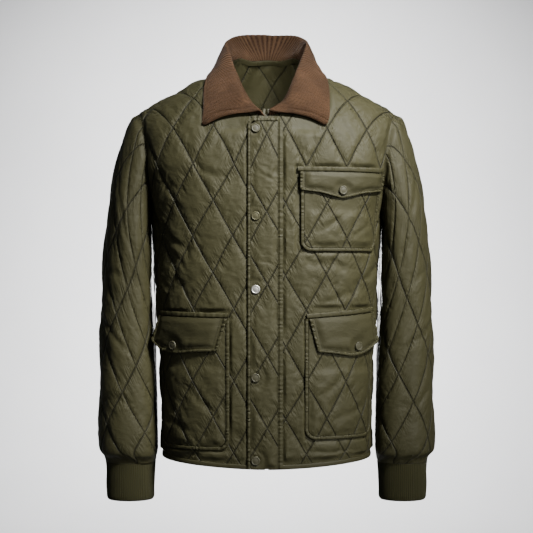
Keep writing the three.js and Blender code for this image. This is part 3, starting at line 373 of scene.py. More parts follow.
def drape(p, r, side):
    """Low broad folds of the worn cloth: waves round the hem and across the waist."""
    low = smooth((-420 - r) / 240)
    wave = np.sin(p / 31 + np.where(side > 0, 1.3, 0.2)) + 0.6 * np.sin(p / 19 + r / 160)
    waist = np.sin(r / 46 + p / 95) * smooth((r + 640) / 120) * smooth((-230 - r) / 90)
    return 1.3 * low * wave + 0.8 * waist


def torso(p, r, side):
    """The body's cloth: the outline below the chest, and above it a quarter ellipse to the ridge.

    Behind the neck the cloth is lifted a little on both sides, so that its seam runs level.
    """
    p, r = np.broadcast_arrays(np.asarray(p, float), np.asarray(r, float))
    x, y = ring_point(r, side, p)
    sign = np.where(p < 0, -1.0, 1.0)
    grow = 1 + drape(p, r, np.where(y < 0, -side, side)) / 160 * smooth(y / 40)
    below = np.stack([sign * x, side * y * grow, r], -1)
    angle = np.pi / 2 * np.maximum(r - CHEST, 0) / cap_length(p, side)
    flare = 1 + SHOULDER_FLARE * np.abs(np.sin(angle)) ** 1.8 * (x / ARM_X) ** 4
    wide = x * flare
    z = CHEST + (ridge(wide, side) - CHEST) * np.sin(angle)
    if side > 0:
        beside = smooth((x - 8) / 46) * (1 - smooth((x - 61) / 18))
        z = z + SEAM_LEVEL * beside * smooth((angle - 0.86) / 0.36)
    above = np.stack([sign * wide, side * y * np.cos(angle), z], -1)
    return np.where((r <= CHEST)[..., None], below, above)


def on_torso(side):
    """A function of p and r that gives the cloth's place and the direction out of it."""
    def spot(p, r):
        h = 1.2
        across = torso(p + h, r, side) - torso(p - h, r, side)
        up = torso(p, r + h, side) - torso(p, r - h, side)
        return torso(p, r, side), unit(np.cross(across, up)) * -side
    return spot


def arm_edge(r, side):
    """Outer edge of a body panel: the side seam, the armhole, then the shoulder seam."""
    r = np.asarray(r, float)
    tip, arm = tip_r(side), ARM_P[side]
    seam = side_arc(r, side) - SEAM / 2
    u = np.clip((CHEST - r) / (CHEST - UNDERARM), 0, 1)
    hole = lerp(arm, seam, 1 - np.sqrt(1 - u * u))
    share = np.clip((r - CHEST) / (tip - CHEST), 0, 1)
    scye = arm - (4 if side < 0 else 2) * np.sin(np.pi * share)
    ps = np.linspace(NECK_HALF * 0.9, arm, 300)
    reach = CHEST + cap_length(ps, side) - SEAM / 2
    shoulder = np.interp(-r, -reach, ps)
    upper = np.where(r < CHEST, hole, np.where(r <= tip, scye, shoulder))
    return np.where(r <= UNDERARM, seam, upper)


def neck_edge(r, side):
    """Inner edge of a body panel: the centre, then a quarter ellipse round the neck."""
    low = FRONT_NECK if side < 0 else BACK_NECK
    u = np.clip((r - low) / (apex_r(side) - low), 0, 1)
    return NECK_HALF * np.sqrt(1 - (1 - u) ** 2)


def hem_low(side):
    """Height of the hem on the centre line."""
    return HEM_FRONT if side < 0 else HEM_FRONT - 4


def hem_r(p, side):
    """Height of the hem, which rises to the side seams."""
    return lerp(hem_low(side), HEM_FRONT + HEM_RISE,
                smooth(np.abs(p) / float(side_arc(HEM_FRONT, side))))


def round_to(x, z):
    """Distance round the cloth of a point seen from the front."""
    xs, _, arc = quarter(min(z, CHEST), -1)
    return float(np.interp(x, xs, arc))


def near(w):
    """Distance to the nearest even whole number."""
    m = np.mod(w, 2.0)
    return np.minimum(m, 2.0 - m)


def quilted(p, r, cross, seed):
    """Padding between crossed stitched lines, and the puckers that run off the lines.

    The padding is the product, over both sets of lines, of a bow in the distance to the nearest
    line. The puckers are soft noise along each line, dying away from it, and the crumple is noise
    folded at zero, which leaves thin creases.
    """
    u = (p + 1.4 * noise(p / 60, r / 75, seed) - cross[0]) / (DIAMOND_WIDE / 2)
    v = (r + 1.8 * noise(p / 55 + 9, r / 70, seed + 1) - cross[1]) / (DIAMOND_TALL / 2)
    a, b = u + v, u - v
    rise, pucker = 1.0, 0.0
    for off, run, kind in ((a, b, 2), (b, a, 3)):
        line = np.round(off / 2)
        flank = np.sign(off - 2 * line)
        away = near(off) * LINE_MM
        rise = rise * (1 - (1 - near(off)) ** 2) ** 0.7
        for wave, reach, high, lean in PUCKERS:
            row = line * 7.3 + flank * 2.1
            part = noise((run * SIDE_MM + lean * flank * away) / wave + row,
                         row + away / (4 * reach), seed + kind)
            part = lerp(part, 0.5 - 1.5 * np.abs(part), 0.5)
            pucker = pucker + high * part * np.exp(-away / reach) * away / (away + 1.5)
    crumple = noise(p / 17 + r / 40, r / 9 + p / 33, seed + 5)
    crumple = crumple + 0.6 * noise(p / 8, r / 6 - p / 20, seed + 6)
    return rise, pucker + CRUMPLE * (0.4 - np.abs(crumple)) * rise, np.stack([a, b], -1)


def creases(p, r, rows, seed):
    """Troughs with a soft ridge on both sides, along short wavering lines.

    Each row is p and r of both ends, the width and the depth.
    """
    total = 0.0
    for k, (p0, r0, p1, r1, wide, deep) in enumerate(rows):
        long = math.hypot(p1 - p0, r1 - r0)
        dp, dr = (p1 - p0) / long, (r1 - r0) / long
        t = ((p - p0) * dp + (r - r0) * dr) / long
        q = (p - p0) * dr - (r - r0) * dp + 0.9 * wide * noise(t * 4, t * 0 + k, seed + 40)
        taper = smooth(t / 0.3) * smooth((1 - t) / 0.3)
        ridge_part = 0.45 * np.exp(-(((np.abs(q) - 1.9 * wide) / (1.1 * wide)) ** 2))
        total = total + deep * taper * (ridge_part - np.exp(-((q / wide) ** 2)))
    return total


class Cloth:
    """Gathers the skins and rims of one piece and makes its mesh."""

    def __init__(self):
        self.points, self.marks, self.faces, self.count = [], [], [], 0

    def add(self, points, marks):
        """Takes a grid of points with their pattern coordinates and gives their numbers."""
        n = points.reshape(-1, 3).shape[0]
        self.points.append(points.reshape(-1, 3))
        self.marks.append(np.broadcast_to(marks, points.shape[:-1] + (2,)).reshape(-1, 2))
        ids = np.arange(self.count, self.count + n).reshape(points.shape[:-1])
        self.count += n
        return ids

    def fill(self, ids, flip=False):
        """Four-sided faces over a grid."""
        quads = np.stack([ids[:-1, :-1], ids[:-1, 1:], ids[1:, 1:], ids[1:, :-1]], -1)
        quads = quads.reshape(-1, 4)
        self.faces.append(quads[:, ::-1] if flip else quads)

    def rim(self, fine, coarse, step, flip=False):
        """Faces between an edge of the fine skin and the same edge of the plainer one."""
        n = len(coarse) - 1
        cols = [fine[k : k + n * step : step] for k in range(step)] + [fine[step :: step]]
        cols += [coarse[1:], coarse[:-1]]
        face = np.stack(cols, -1)
        self.faces.append(face[:, ::-1] if flip else face)

    def wall(self, outer, inner, marks, step=3, rims="bltr", lining=None):
        """A closed wall: outer skin, an inner one that keeps every step-th point, and rims."""
        ids = self.add(outer, marks)
        under = marks if lining is None else lining
        low = self.add(inner[::step, ::step], under[::step, ::step])
        self.fill(ids)
        self.fill(low, flip=True)
        if "b" in rims:
            self.rim(ids[0], low[0], step, flip=True)
        if "t" in rims:
            self.rim(ids[-1], low[-1], step)
        if "l" in rims:
            self.rim(ids[:, 0], low[:, 0], step)
        if "r" in rims:
            self.rim(ids[:, -1], low[:, -1], step, flip=True)
        return ids, low

    def tube(self, loops, marks):
        """A closed bar from a row of loops of points."""
        ids = self.add(loops, marks)
        ring = np.concatenate([ids, ids[:, :1]], 1)
        self.fill(ring)
        self.faces.append(ids[:1])
        self.faces.append(ids[-1:, ::-1])

    def build(self, name, material, slot, nodes, crisp=40):
        """Joins points that coincide, turns the faces outwards and puts the piece in the scene."""
        points, marks = np.concatenate(self.points), np.concatenate(self.marks)
        key = np.round(points * 40).astype(np.int64)
        _, first, back = np.unique(key, axis=0, return_index=True, return_inverse=True)
        back = back.ravel()
        corners = np.concatenate([f.ravel() for f in self.faces])
        sizes = np.concatenate([np.full(len(f), f.shape[1]) for f in self.faces])
        starts = np.concatenate([[0], np.cumsum(sizes)[:-1]])
        fans = np.concatenate([np.stack([f[:, 0], f[:, k], f[:, k + 1]], -1)
                               for f in self.faces for k in range(1, f.shape[1] - 1)])
        a, b, c = (points[fans[:, k]] for k in range(3))
        if (a * np.cross(b, c)).sum() < 0:
            corners = np.concatenate([f[:, ::-1].ravel() for f in self.faces])
        mesh = bpy.data.meshes.new(name)
        mesh.vertices.add(len(first))
        mesh.vertices.foreach_set("co", (points[first] * MM).astype(np.float32).ravel())
        mesh.loops.add(len(corners))
        mesh.loops.foreach_set("vertex_index", back[corners].astype(np.int32))
        mesh.polygons.add(len(sizes))
        mesh.polygons.foreach_set("loop_start", starts.astype(np.int32))
        layer = mesh.uv_layers.new(name="pattern")
        layer.data.foreach_set("uv", marks[corners].astype(np.float32).ravel())
        mesh.update(calc_edges=True)
        mesh.validate()
        mesh.shade_smooth()
        mesh.set_sharp_from_angle(angle=math.radians(crisp))
        piece = bpy.data.objects.new(name, mesh)
        bpy.context.scene.collection.objects.link(piece)
        mesh.materials.append(material)
        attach(piece, "root")
        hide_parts(*nodes)
        return piece


def even(path, step):
    """A path again with even steps."""
    path = np.asarray(path, float)
    count = max(2, int(round(lengths(path)[-1] / step)))
    return along(path, np.linspace(0, 1, count + 1))


def bar(wide, thick, base, lean=0.5, count=14):
    """A closed rounded section: a squared ellipse of a width and a thickness above the cloth."""
    angle = np.arange(count) * 2 * np.pi / count
    c, s = np.cos(angle), np.sin(angle)
    x = wide * (lean - 0.5) + wide / 2 * np.sign(c) * np.abs(c) ** 0.55
    h = base + thick / 2 + thick / 2 * np.sign(s) * np.abs(s) ** 0.75
    return np.stack([x, h], -1)


def ribbon(cloth, path, section, spot, ripple=0.0, seed=0):
    """Carries a section along a path on the cloth, across it and out from it.

    Small regular ripples of the sewn edge swell its outer points.
    """
    tangent = np.gradient(path, axis=0)
    tangent /= np.linalg.norm(tangent, axis=1)[:, None]
    mark = lengths(path)
    swell = 1 + ripple * noise(mark / 2.4, mark * 0, seed)[:, None]
    offset = section[None, :, 0]
    high = section[None, :, 1] * swell
    p = path[:, :1] - tangent[:, 1:] * offset
    r = path[:, 1:] + tangent[:, :1] * offset
    at, out = spot(p, r)
    loops = at + out * high[..., None]
    marks = np.stack(np.broadcast_arrays(mark[:, None] * MM, offset * MM), -1)
    cloth.tube(loops, marks)
    return mark[-1]


def fade_rows(r, low, top):
    """Padding fades out at the hem and at the shoulder."""
    return smooth((r - low - 10) / FADE) * smooth((top - 4 - r) / FADE)


def pressed(p, r, side):
    """Padding is pressed flat round the underarm and under the collar."""
    pit = np.hypot(side_arc(r, side) - np.abs(p), r - UNDERARM - 10)
    collar_low = -125 if side < 0 else -24
    under = smooth((112 - np.abs(p)) / 14) * smooth((r - collar_low + 8) / 14)
    return smooth((pit - 16) / 24) * (1 - under)


def flat_under(p, r, name):
    """The cloth lies flat under the placket and under a pocket."""
    keep = 1 - smooth((p - PLACKET_LEFT + 6) / 6) * smooth((PLACKET_RIGHT + 6 - p) / 6)
    for k in POCKETS:
        if k["panel"] == name:
            near_p, far_p = round_to(k["welt"][0], k["high"]), round_to(k["welt"][1], k["high"])
            reach = np.abs(p)
            box = (smooth((reach - near_p + 7) / 6) * smooth((far_p + 7 - reach) / 6)
                   * smooth((r - k["low"] + PIPING + 7) / 6)
                   * smooth((k["high"] + WELT_TALL + k["rise"] + 6 - r) / 6))
            keep = keep * (1 - box)
    return keep


def panel_rows(low, below, neck, top, beside):
    """Rows up a panel: even ones to the neck, then ones that follow the neck's quarter ellipse."""
    lower = np.linspace(low, neck, below + 1)[:-1]
    angle = np.linspace(0, np.pi / 2, beside + 1)
    upper = neck + (top - 1.2 - neck) * (1 - np.cos(angle))
    upper[0] = neck
    return np.concatenate([lower, upper])


def front_panel(name):
    """A front: rows run from the centre edge to the side seam, armhole or shoulder."""
    sign = -1 if name == "front_left" else 1
    top = apex_r(-1)
    below, beside, columns = FRONT_GRID
    rows = panel_rows(HEM_FRONT + HEM_EDGE, below, FRONT_NECK, top, beside)
    inner = np.maximum(ZIP_HALF + SEAM, neck_edge(rows, -1))
    outer = np.maximum(inner + 0.6, arm_edge(rows, -1))
    share = np.linspace(0, 1, columns)
    p = sign * lerp(inner[:, None], outer[:, None], share)
    r = np.broadcast_to(rows[:, None], p.shape)
    lift = (hem_r(p, -1) - HEM_FRONT) * (1 - smooth((r - HEM_FRONT - HEM_EDGE) / 30))
    at, out = on_torso(-1)(p, r + lift)
    edge = np.minimum(np.abs(p) - inner[:, None], outer[:, None] - np.abs(p))
    rise, pucker, marks = quilted(p, r, CROSS[name], 11 + sign)
    calm = flat_under(p, r, name) * pressed(p, r, -1) * fade_rows(r, HEM_FRONT, top)
    high = PUFF * rise * calm * smooth(edge / FADE)
    fold = creases(p, r, CREASES[name], 3 + sign) * smooth(edge / 6)
    high = high + pucker * calm * smooth(edge / 5) + fold * (0.25 + 0.75 * calm)
    cloth = Cloth()
    high = np.maximum(high, DEEPEST)
    cloth.wall(at + out * (WALL / 2 + high)[..., None], at - out * WALL / 2, marks)
    return cloth, (float(side_arc(MID_BODY, -1)), top - HEM_FRONT)


def back_panel():
    """The back: two halves that join on the centre line up to the nape."""
    cloth = Cloth()
    low, top = hem_low(1), apex_r(1)
    split, beside, columns = BACK_GRID
    rows = panel_rows(low + HEM_EDGE, split, BACK_NECK, top, beside)
    edge_in = neck_edge(rows, 1)
    outer = np.maximum(edge_in + 0.6, arm_edge(rows, 1))
    share = np.linspace(0, 1, columns)
    for sign in (-1, 1):
        p = sign * lerp(edge_in[:, None], outer[:, None], share)
        r = np.broadcast_to(rows[:, None], p.shape)
        lift = (hem_r(p, 1) - low) * (1 - smooth((r - low - HEM_EDGE) / 30))
        at, out = on_torso(1)(p, r + lift)
        neck_gap = np.where(r > BACK_NECK - 30, np.hypot(
            np.maximum(np.abs(p) - edge_in[:, None], 0), np.maximum(BACK_NECK - r, 0)), 99)
        edge = np.minimum(outer[:, None] - np.abs(p), neck_gap)
        rise, pucker, marks = quilted(p, r, CROSS["back"], 21)
        calm = pressed(p, r, 1) * fade_rows(r, low, top)
        high = PUFF * rise * calm * smooth(edge / FADE)
        fold = creases(p, r, CREASES["back"], 7) * smooth(edge / 6)
        high = np.maximum(high + (pucker + fold) * calm * smooth(edge / 5), DEEPEST)
        soft = smooth((r + 200) / 60) * smooth((neck_gap - 12) / 10)
        rise, pucker, lining = quilted(p, r, CROSS["inner_back"], 23)
        below = (3.0 * rise + 0.9 * pucker) * soft
        outer_skin = at + out * (WALL / 2 + high)[..., None]
        inner_skin = at - out * (WALL / 2 + below)[..., None]
        ids, coarse = cloth.wall(outer_skin, inner_skin, marks, 2, "bt", lining)
        cloth.rim(ids[:, -1], coarse[:, -1], 2, flip=True)
        cloth.rim(ids[split:, 0], coarse[split // 2 :, 0], 2)
        if sign < 0:
            cloth.faces = [f[:, ::-1] for f in cloth.faces]
    return cloth, (2 * float(side_arc(MID_BODY, 1)), top - low)


def arm_seam(sign):
    """The armhole, from the underarm up the back to the shoulder and down the front."""
    line, depth = [], []
    for side in (1, -1):
        rows = np.linspace(UNDERARM, tip_r(side), 90)
        at, out = on_torso(side)(sign * arm_edge(rows, side), rows)
        order = slice(None) if side > 0 else slice(None, None, -1)
        line.append((at + out * WALL / 2)[order])
        depth.append((-out * WALL)[order])
    seam = np.concatenate(line)
    seam[[0, -1]] = seam[[0, -1]].mean(0)
    seam[[89, 90]] = seam[[89, 90]].mean(0)
    mark = lengths(seam)
    share = np.where(np.arange(180) < 90, mark / mark[89] - 1,
                     (mark - mark[90]) / (mark[-1] - mark[90]))
    return seam + np.array([sign * ARM_GAP, 0, 0]), np.concatenate(depth), share


OUTER_LINE = through([(x, 0, z) for x, z in SLEEVE_OUTER])
INNER_LINE = through([(x, 0, z) for x, z in SLEEVE_INNER])
SLEEVE_LONG = (lengths(OUTER_LINE)[-1] + lengths(INNER_LINE)[-1]) / 2
RINGS = 220


def sleeve_tables():
    """Half rings of the sleeve: squared ovals between its outer and inner lines."""
    ts = np.linspace(0, 1, RINGS)
    o, i = along(OUTER_LINE, ts), along(INNER_LINE, ts)
    angle = np.pi * np.linspace(0, 1, 121)
    c = np.cos(angle)
    power = 2 / np.where(c < 0, 2.6, 2.15)
    u = (1 + np.sign(c) * np.abs(c) ** power) / 2
    deep = read(SLEEVE_DEPTH, 1, ts)[:, None]
    y = deep * np.maximum(np.sin(angle), 0) ** power
    y[:, -1] = 0
    x = lerp(i[:, :1], o[:, :1], u)
    z = lerp(i[:, 2:], o[:, 2:], u)
    rings, halves = [], []
    for k in range(RINGS):
        line = np.stack([x[k], y[k], z[k]], -1)
        mark = lengths(line)
        at = np.linspace(0, mark[-1], 240)
        rings.append(np.stack([np.interp(at, mark, line[:, m]) for m in range(3)], -1))
        halves.append(mark[-1])
    return np.array(rings), np.array(halves)


SLEEVE_RINGS, SLEEVE_HALVES = sleeve_tables()


def ring_spot(t, f):
    """A place on the sleeve's own rings: t down its length, f round it from the outer edge."""
    row, col = t * (RINGS - 1), np.clip(np.abs(f), 0, 1) * 239
    x, y, z = (bilinear(SLEEVE_RINGS[..., k], row, col) for k in range(3))
    return np.stack([x, read(SLEEVE_DEPTH, 2, t) - np.sign(f) * y, z], -1)


def sleeve(name):
    """A sleeve: its head follows the armhole and its rings take over below."""
    sign = -1 if name == "sleeve_left" else 1
    seam, depth, share = arm_seam(sign)
    home = ring_spot(np.zeros(180), share)
    away = seam * np.array([sign, 1, 1]) - home

    def place(f, t):
        wrap = np.where(f > 1, f - 2, np.where(f < -1, f + 2, f))
        at = ring_spot(t, wrap)
        pull = np.stack([np.interp(wrap, share, away[:, k]) for k in range(3)], -1)
        return (at + pull * (1 - smooth(t / 0.24))[..., None]) * np.array([sign, 1, 1])

    down, round_it = SLEEVE_GRID
    t, f = np.meshgrid(np.linspace(0, 1, down), np.linspace(-1, 1, round_it), indexing="ij")
    h = 0.004
    ahead = place(f, np.minimum(t + h, 1)) - place(f, np.maximum(t - h, 0))
    out = unit(np.cross(place(f + h, t) - place(f - h, t), ahead)) * sign
    at = place(f, t)
    half = np.interp(t[:, 0], np.linspace(0, 1, RINGS), SLEEVE_HALVES)[:, None]
    a, r = f * half, -t * SLEEVE_LONG
    rise, pucker, marks = quilted(a, r, CROSS[name], 31 + sign)
    near_end = np.minimum(-r, r + SLEEVE_LONG - 6)
    calm = smooth(near_end / FADE) * smooth((half - np.abs(a) - 16) / 30)
    joined = smooth((half - np.abs(a)) / 10)
    gather = 1.5 * noise(a / 5.5, a * 0 + sign, 51) + 0.9 * noise(a / 12, a * 0 + sign, 52)
    tight = smooth((SLEEVE_LONG + r) / 5) * np.exp(-np.maximum(SLEEVE_LONG + r - 5, 0) / 11)
    fold = creases(a, r, CREASES[name], 60 + sign)
    head = smooth(-r / 9) * joined
    high = SLEEVE_PUFF * rise * calm
    high = high + SLEEVE_PUCKER * pucker * smooth(near_end / 8) * smooth((half - np.abs(a)) / 20)
    high = np.maximum(high + SLEEVE_FOLD * fold * head, DEEPEST) + 0.9 * gather * tight * joined
    lay = WALL / 2 * smooth(-r / 12)
    through_wall = np.stack([np.interp(f, share, depth[:, k]) for k in range(3)], -1)
    outer = at + out * (lay + high)[..., None]
    plain = at - out * WALL / 2
    inner = lerp(at + through_wall, plain, smooth(-r / 14)[..., None])
    cloth = Cloth()
    cloth.wall(outer, inner, marks, rims="bt")
    return cloth, (2 * float(SLEEVE_HALVES.mean()), SLEEVE_LONG)


def cuff(name):
    """Rib knit: a barrel of rings whose radius swells at each rib."""
    sign = -1 if name == "cuff_left" else 1
    z = np.concatenate([np.linspace(CUFF[0, 0], -741, 6), np.linspace(-738, -686, 27),
                        np.linspace(-685, CUFF[-1, 0], 4)])
    angle = np.linspace(0, 2 * np.pi, CUFF_RIBS * 6 + 1)
    z, angle = np.meshgrid(z, angle, indexing="ij")
    rib = np.sqrt(np.abs(np.sin(angle * CUFF_RIBS / 2)))
    wave = 0.7 * noise(2 * np.cos(angle), 2 * np.sin(angle) + z / 22, 71) * smooth((z + 747) / 20)
    lift = read(CUFF, 3, z) * (rib - 0.4) + wave
    half, deep = read(CUFF, 1, z), read(CUFF, 2, z)
    back = SLEEVE_DEPTH[-1, 2]

    def ring(grow):
        return np.stack([sign * (CUFF_X + (half + grow) * np.cos(angle)),
                         back + (deep + grow) * np.sin(angle), z], -1)

    marks = np.stack([angle * 40 * MM, z * MM], -1)
    cloth = Cloth()
    cloth.wall(ring(CUFF_WALL / 2 + lift), ring(-CUFF_WALL / 2), marks, rims="bt")
    return cloth, (2 * np.pi * 40, CUFF[-1, 0] - CUFF[0, 0])


def from_body(v):
    """How far a point stands out from the body's cloth, and the direction out."""
    side = np.where(v[..., 1] < 0, -1, 1)
    half, power = TORSO[-1, 1], TORSO[-1, 4]

    def f(q):
        share = np.minimum(0.999, np.abs(q[..., 0]) / half)
        depth = np.where(side < 0, TORSO[-1, 2], TORSO[-1, 3]) * (1 - share**power) ** (1 / power)
        top = np.where(side < 0, ridge(q[..., 0], -1), ridge(q[..., 0], 1)) - CHEST
        return np.hypot(q[..., 1] / depth, np.maximum(0, q[..., 2] - CHEST) / top) - 1

    h = 0.5
    g = np.stack([f(v + h * e) - f(v - h * e) for e in np.eye(3)], -1) / (2 * h)
    steep = np.linalg.norm(g, axis=-1, keepdims=True)
    return f(v)[..., None] / steep, g / steep


def stand_off(v, clear):
    """Moves points out until they stand clear of the body's cloth."""
    for _ in range(6):
        gap, out = from_body(v)
        v = v + out * np.maximum(clear - gap, 0)
    return v


def neck_line(step):
    """The neck seam's outer and inner lines, from the left front round the nape to the right."""
    outer, inner = [], []
    for side, sign in ((-1, -1), (1, -1), (1, 1), (-1, 1)):
        low, top = (FRONT_NECK, apex_r(-1)) if side < 0 else (BACK_NECK, apex_r(1))
        first = math.asin((ZIP_HALF + SEAM) / NECK_HALF) if side < 0 else 0.0
        angle = np.linspace(first, np.pi / 2, 160)
        r = low + (top - low) * (1 - np.cos(angle))
        at, out = on_torso(side)(sign * NECK_HALF * np.sin(angle), r)
        order = slice(None) if side * sign > 0 else slice(None, None, -1)
        outer.append((at + out * WALL / 2)[order])
        inner.append((at - out * WALL / 2)[order])
    outer, inner = np.concatenate(outer), np.concatenate(inner)
    mark = lengths(outer)
    keep = np.concatenate([[True], np.diff(mark) > 0.2])
    at = np.linspace(0, mark[-1], int(round(mark[-1] / step)) + 1)
    outer, inner = (np.stack([np.interp(at, mark[keep], v[keep, k]) for k in range(3)], -1)
                    for v in (outer, inner))
    run = np.gradient(outer, axis=0)
    up = unit(np.cross(outer - inner, run))
    heart = np.array([0, -10, 10]) - outer
    up *= np.where((up * heart).sum(-1) < 0, -1, 1)[:, None]
    return outer + up * (SEAM + 0.1), inner + up * (SEAM + 0.1), at


def collar():
    """Corduroy from the neck seam up the stand, over the fold and down to the points.

    Each line across it is a smooth curve through seven places. The wales are rounded ridges at
    even steps along the collar; the turned edges thin out and carry a sewn groove.
    """
    outer, inner, mark = neck_line(COLLAR_STEP)
    count = len(mark) - (len(mark) - 1) % 3
    outer, inner, mark = outer[:count], inner[:count], mark[:count]
    total = mark[-1]
    s = np.minimum(mark, total - mark) / (total / 2)
    sign = np.where(mark <= total / 2, -1.0, 1.0)

    def rail(table):
        x = sign * read(table, 1, s) + COLLAR_SHIFT * (1 - smooth(s / 0.25))
        return np.stack([x, read(table, 2, s), read(table, 3, s)], -1)

    seam, fold = (outer + inner) / 2, rail(FOLD)
    leaf = stand_off(rail(LEAF), COLLAR_CLEAR + 1)
    tip = 1 - smooth(s / 0.2)

    def puffed(u, z):
        rest = lerp(fold, leaf, u) + np.stack([0 * z, 0 * z, z], -1)
        return stand_off(rest, COLLAR_CLEAR + 2)

    places = [seam, lerp(seam, fold, 0.55), fold, puffed(0.12, lerp(3, 1, tip)),
              puffed(0.4, lerp(5, 6, tip)), puffed(0.7, lerp(3, 7, tip)), leaf]
    sheet = through(np.stack(places), 60)
    cuts = np.linspace(0, 1, COLLAR_ROWS) * (len(sheet) - 1)
    base = np.stack([bilinear(sheet[..., k], cuts[:, None], np.arange(count)[None, :] * 1.0)
                     for k in range(3)], -1)
    run, across = np.gradient(base, axis=1), np.gradient(base, axis=0)
    out = unit(np.cross(run, across))
    down = np.concatenate([np.zeros((1, count)), np.cumsum(
        np.linalg.norm(np.diff(base, axis=0), axis=-1), axis=0)])
    long = np.concatenate([np.zeros((COLLAR_ROWS, 1)), np.cumsum(
        np.linalg.norm(np.diff(base, axis=1), axis=-1), axis=1)], 1)
    to_end = np.minimum(long, long[:, -1:] - long)
    to_leaf = down[-1] - down
    on_leaf = smooth((down / down[-1] - 0.36) / 0.1)
    edge = np.minimum(np.where(on_leaf > 0, to_end, 99), to_leaf)
    # the points are rounded by drawing their square corner in to a quarter circle
    ce, cl = (np.clip(1 - v / COLLAR_POINT, 0, 1) for v in (to_end, to_leaf))
    draw = np.maximum(ce, cl) / np.maximum(np.hypot(ce, cl), 1e-9)
    inward = unit(run) * np.where(long < to_end + 1e-6, 1.0, -1.0)[..., None]
    base = base + COLLAR_POINT * (1 - draw)[..., None] * (
        ce[..., None] * inward - cl[..., None] * unit(across))
    fold_long = lengths(fold)[-1]
    wales = mark * (fold_long / total) / WALE
    wale = np.sqrt(np.abs(np.cos(np.pi * wales)))[None, :]
    slim = np.sqrt(1 - (1 - np.clip(np.minimum(edge, to_end) / 1.6, 0.08, 1)) ** 2)
    roll = on_leaf * (1.5 * np.exp(-(((to_end - 4.5) / 3.4) ** 2))
                      - 1.3 * np.exp(-(((to_end - 10.5) / 1.6) ** 2)))
    groove = -0.5 * np.exp(-(((to_leaf - 6) / 1.3) ** 2))
    soft = 0.9 * noise(long / 38, down / 26, 81) + 0.5 * noise(long / 15, down / 15, 82)
    press = smooth(down / 8)
    high = 0.8 * wale * slim * press + (roll + groove + soft * smooth(edge / 6)) * press
    top = base + out * (COLLAR_WALL / 2 * slim + high)[..., None]
    under = base - out * (COLLAR_WALL / 2 * slim)[..., None]
    top[0], under[0] = inner, outer
    marks = np.stack([np.broadcast_to(wales, down.shape), down * MM], -1)
    cloth = Cloth()
    cloth.wall(top, under, marks)
    return cloth, (float(long[-1, -1] + total) / 2, float(down[-1].mean()))


def placket_left(r):
    """The placket's left edge inside its binding, rounded at the top corner."""
    u = np.clip(1 - (PLACKET_TOP - PLACKET_BINDING - r) / PLACKET_CORNER, 0, 1)
    return PLACKET_LEFT + PLACKET_BINDING + SEAM + PLACKET_CORNER * (1 - np.sqrt(1 - u * u))


def placket():
    """The quilted strip over the zip, pulled in round each snap."""
    top = PLACKET_TOP - PLACKET_BINDING - SEAM
    rows, columns = PLACKET_GRID
    right = PLACKET_RIGHT - PLACKET_STRIP - SEAM
    r = np.linspace(HEM_FRONT + 2, top, rows)[:, None]
    p = lerp(placket_left(r), right, np.linspace(0, 1, columns)[None, :])
    r = np.broadcast_to(r, p.shape)
    rise, pucker, marks = quilted(p, r, CROSS["placket"], 91)
    edge = np.minimum.reduce([p - placket_left(r), right - p, r - r[0, 0], top - r])
    by_snap = np.min([np.hypot(p - SNAP_P, r - k) for k in SNAPS_R], axis=0)
    calm = smooth((by_snap - 13) / 12)
    ring = 0.8 * np.exp(-(((by_snap - 11.5) / 2.5) ** 2))
    high = PUFF * 0.8 * rise * smooth(edge / 11) * calm + pucker * smooth(edge / 4) * calm + ring
    high = np.maximum(high + creases(p, r, CREASES["placket"], 95) * smooth(edge / 4), -0.6)
    at, out = on_torso(-1)(p, r)
    cloth = Cloth()
    cloth.wall(at + out * (OVER + WALL / 2 + high)[..., None],
               at + out * (OVER - WALL / 2), marks)
    wide = PLACKET_RIGHT - PLACKET_LEFT - PLACKET_BINDING - PLACKET_STRIP
    return cloth, (wide, top - HEM_FRONT)


def trims():
    """Ribbons of the body: name, path, section and where it lies."""
    front = on_torso(-1)
    corner = np.linspace(0, np.pi / 2, 9)
    bend = np.stack([PLACKET_LEFT + PLACKET_CORNER * (1 - np.cos(corner)),
                     PLACKET_TOP - PLACKET_CORNER * (1 - np.sin(corner))], -1)
    binding = np.concatenate([[(PLACKET_LEFT, HEM_FRONT + 2)], bend,
                              [(PLACKET_RIGHT - PLACKET_STRIP - SEAM, PLACKET_TOP)]])
    strip = [(PLACKET_RIGHT, HEM_FRONT + 2), (PLACKET_RIGHT, PLACKET_TOP - 4)]
    turn = np.concatenate([-np.linspace(1.2, 0.03, 16), np.linspace(0.03, 1.2, 16)])
    tape = [(NECK_HALF * math.sin(a), BACK_NECK + (apex_r(1) - BACK_NECK) * (1 - math.cos(a)))
            for a in turn]
    return (
        ("placket_binding", even(binding, 1.5), bar(PLACKET_BINDING, 4.0, OVER - 1.1, 0.0), front),
        ("placket_edge", even(strip, 1.5), strip_section(), front),
        ("neck_tape", even(tape, 2.4), bar(TAPE_WIDE, 1.3, -WALL / 2 - 3.0, 0.0), on_torso(1)),
    )


def strip_section():
    """The placket's right edge: a flat band that swells between its two rows of stitches."""
    x = np.linspace(0, PLACKET_STRIP, 17)
    swell = 0.9 * np.sin(np.pi * np.clip((x - 1.8) / (PLACKET_STRIP - 3.6), 0, 1))
    ends = 0.6 * np.sin(np.pi * np.clip(x / PLACKET_STRIP, 0, 1)) ** 0.3
    top = np.stack([x, OVER + WALL / 2 - 0.3 + swell + ends], -1)
    low = np.stack([x[::-1], np.full(17, OVER - WALL / 2)], -1)
    return np.concatenate([top, low])


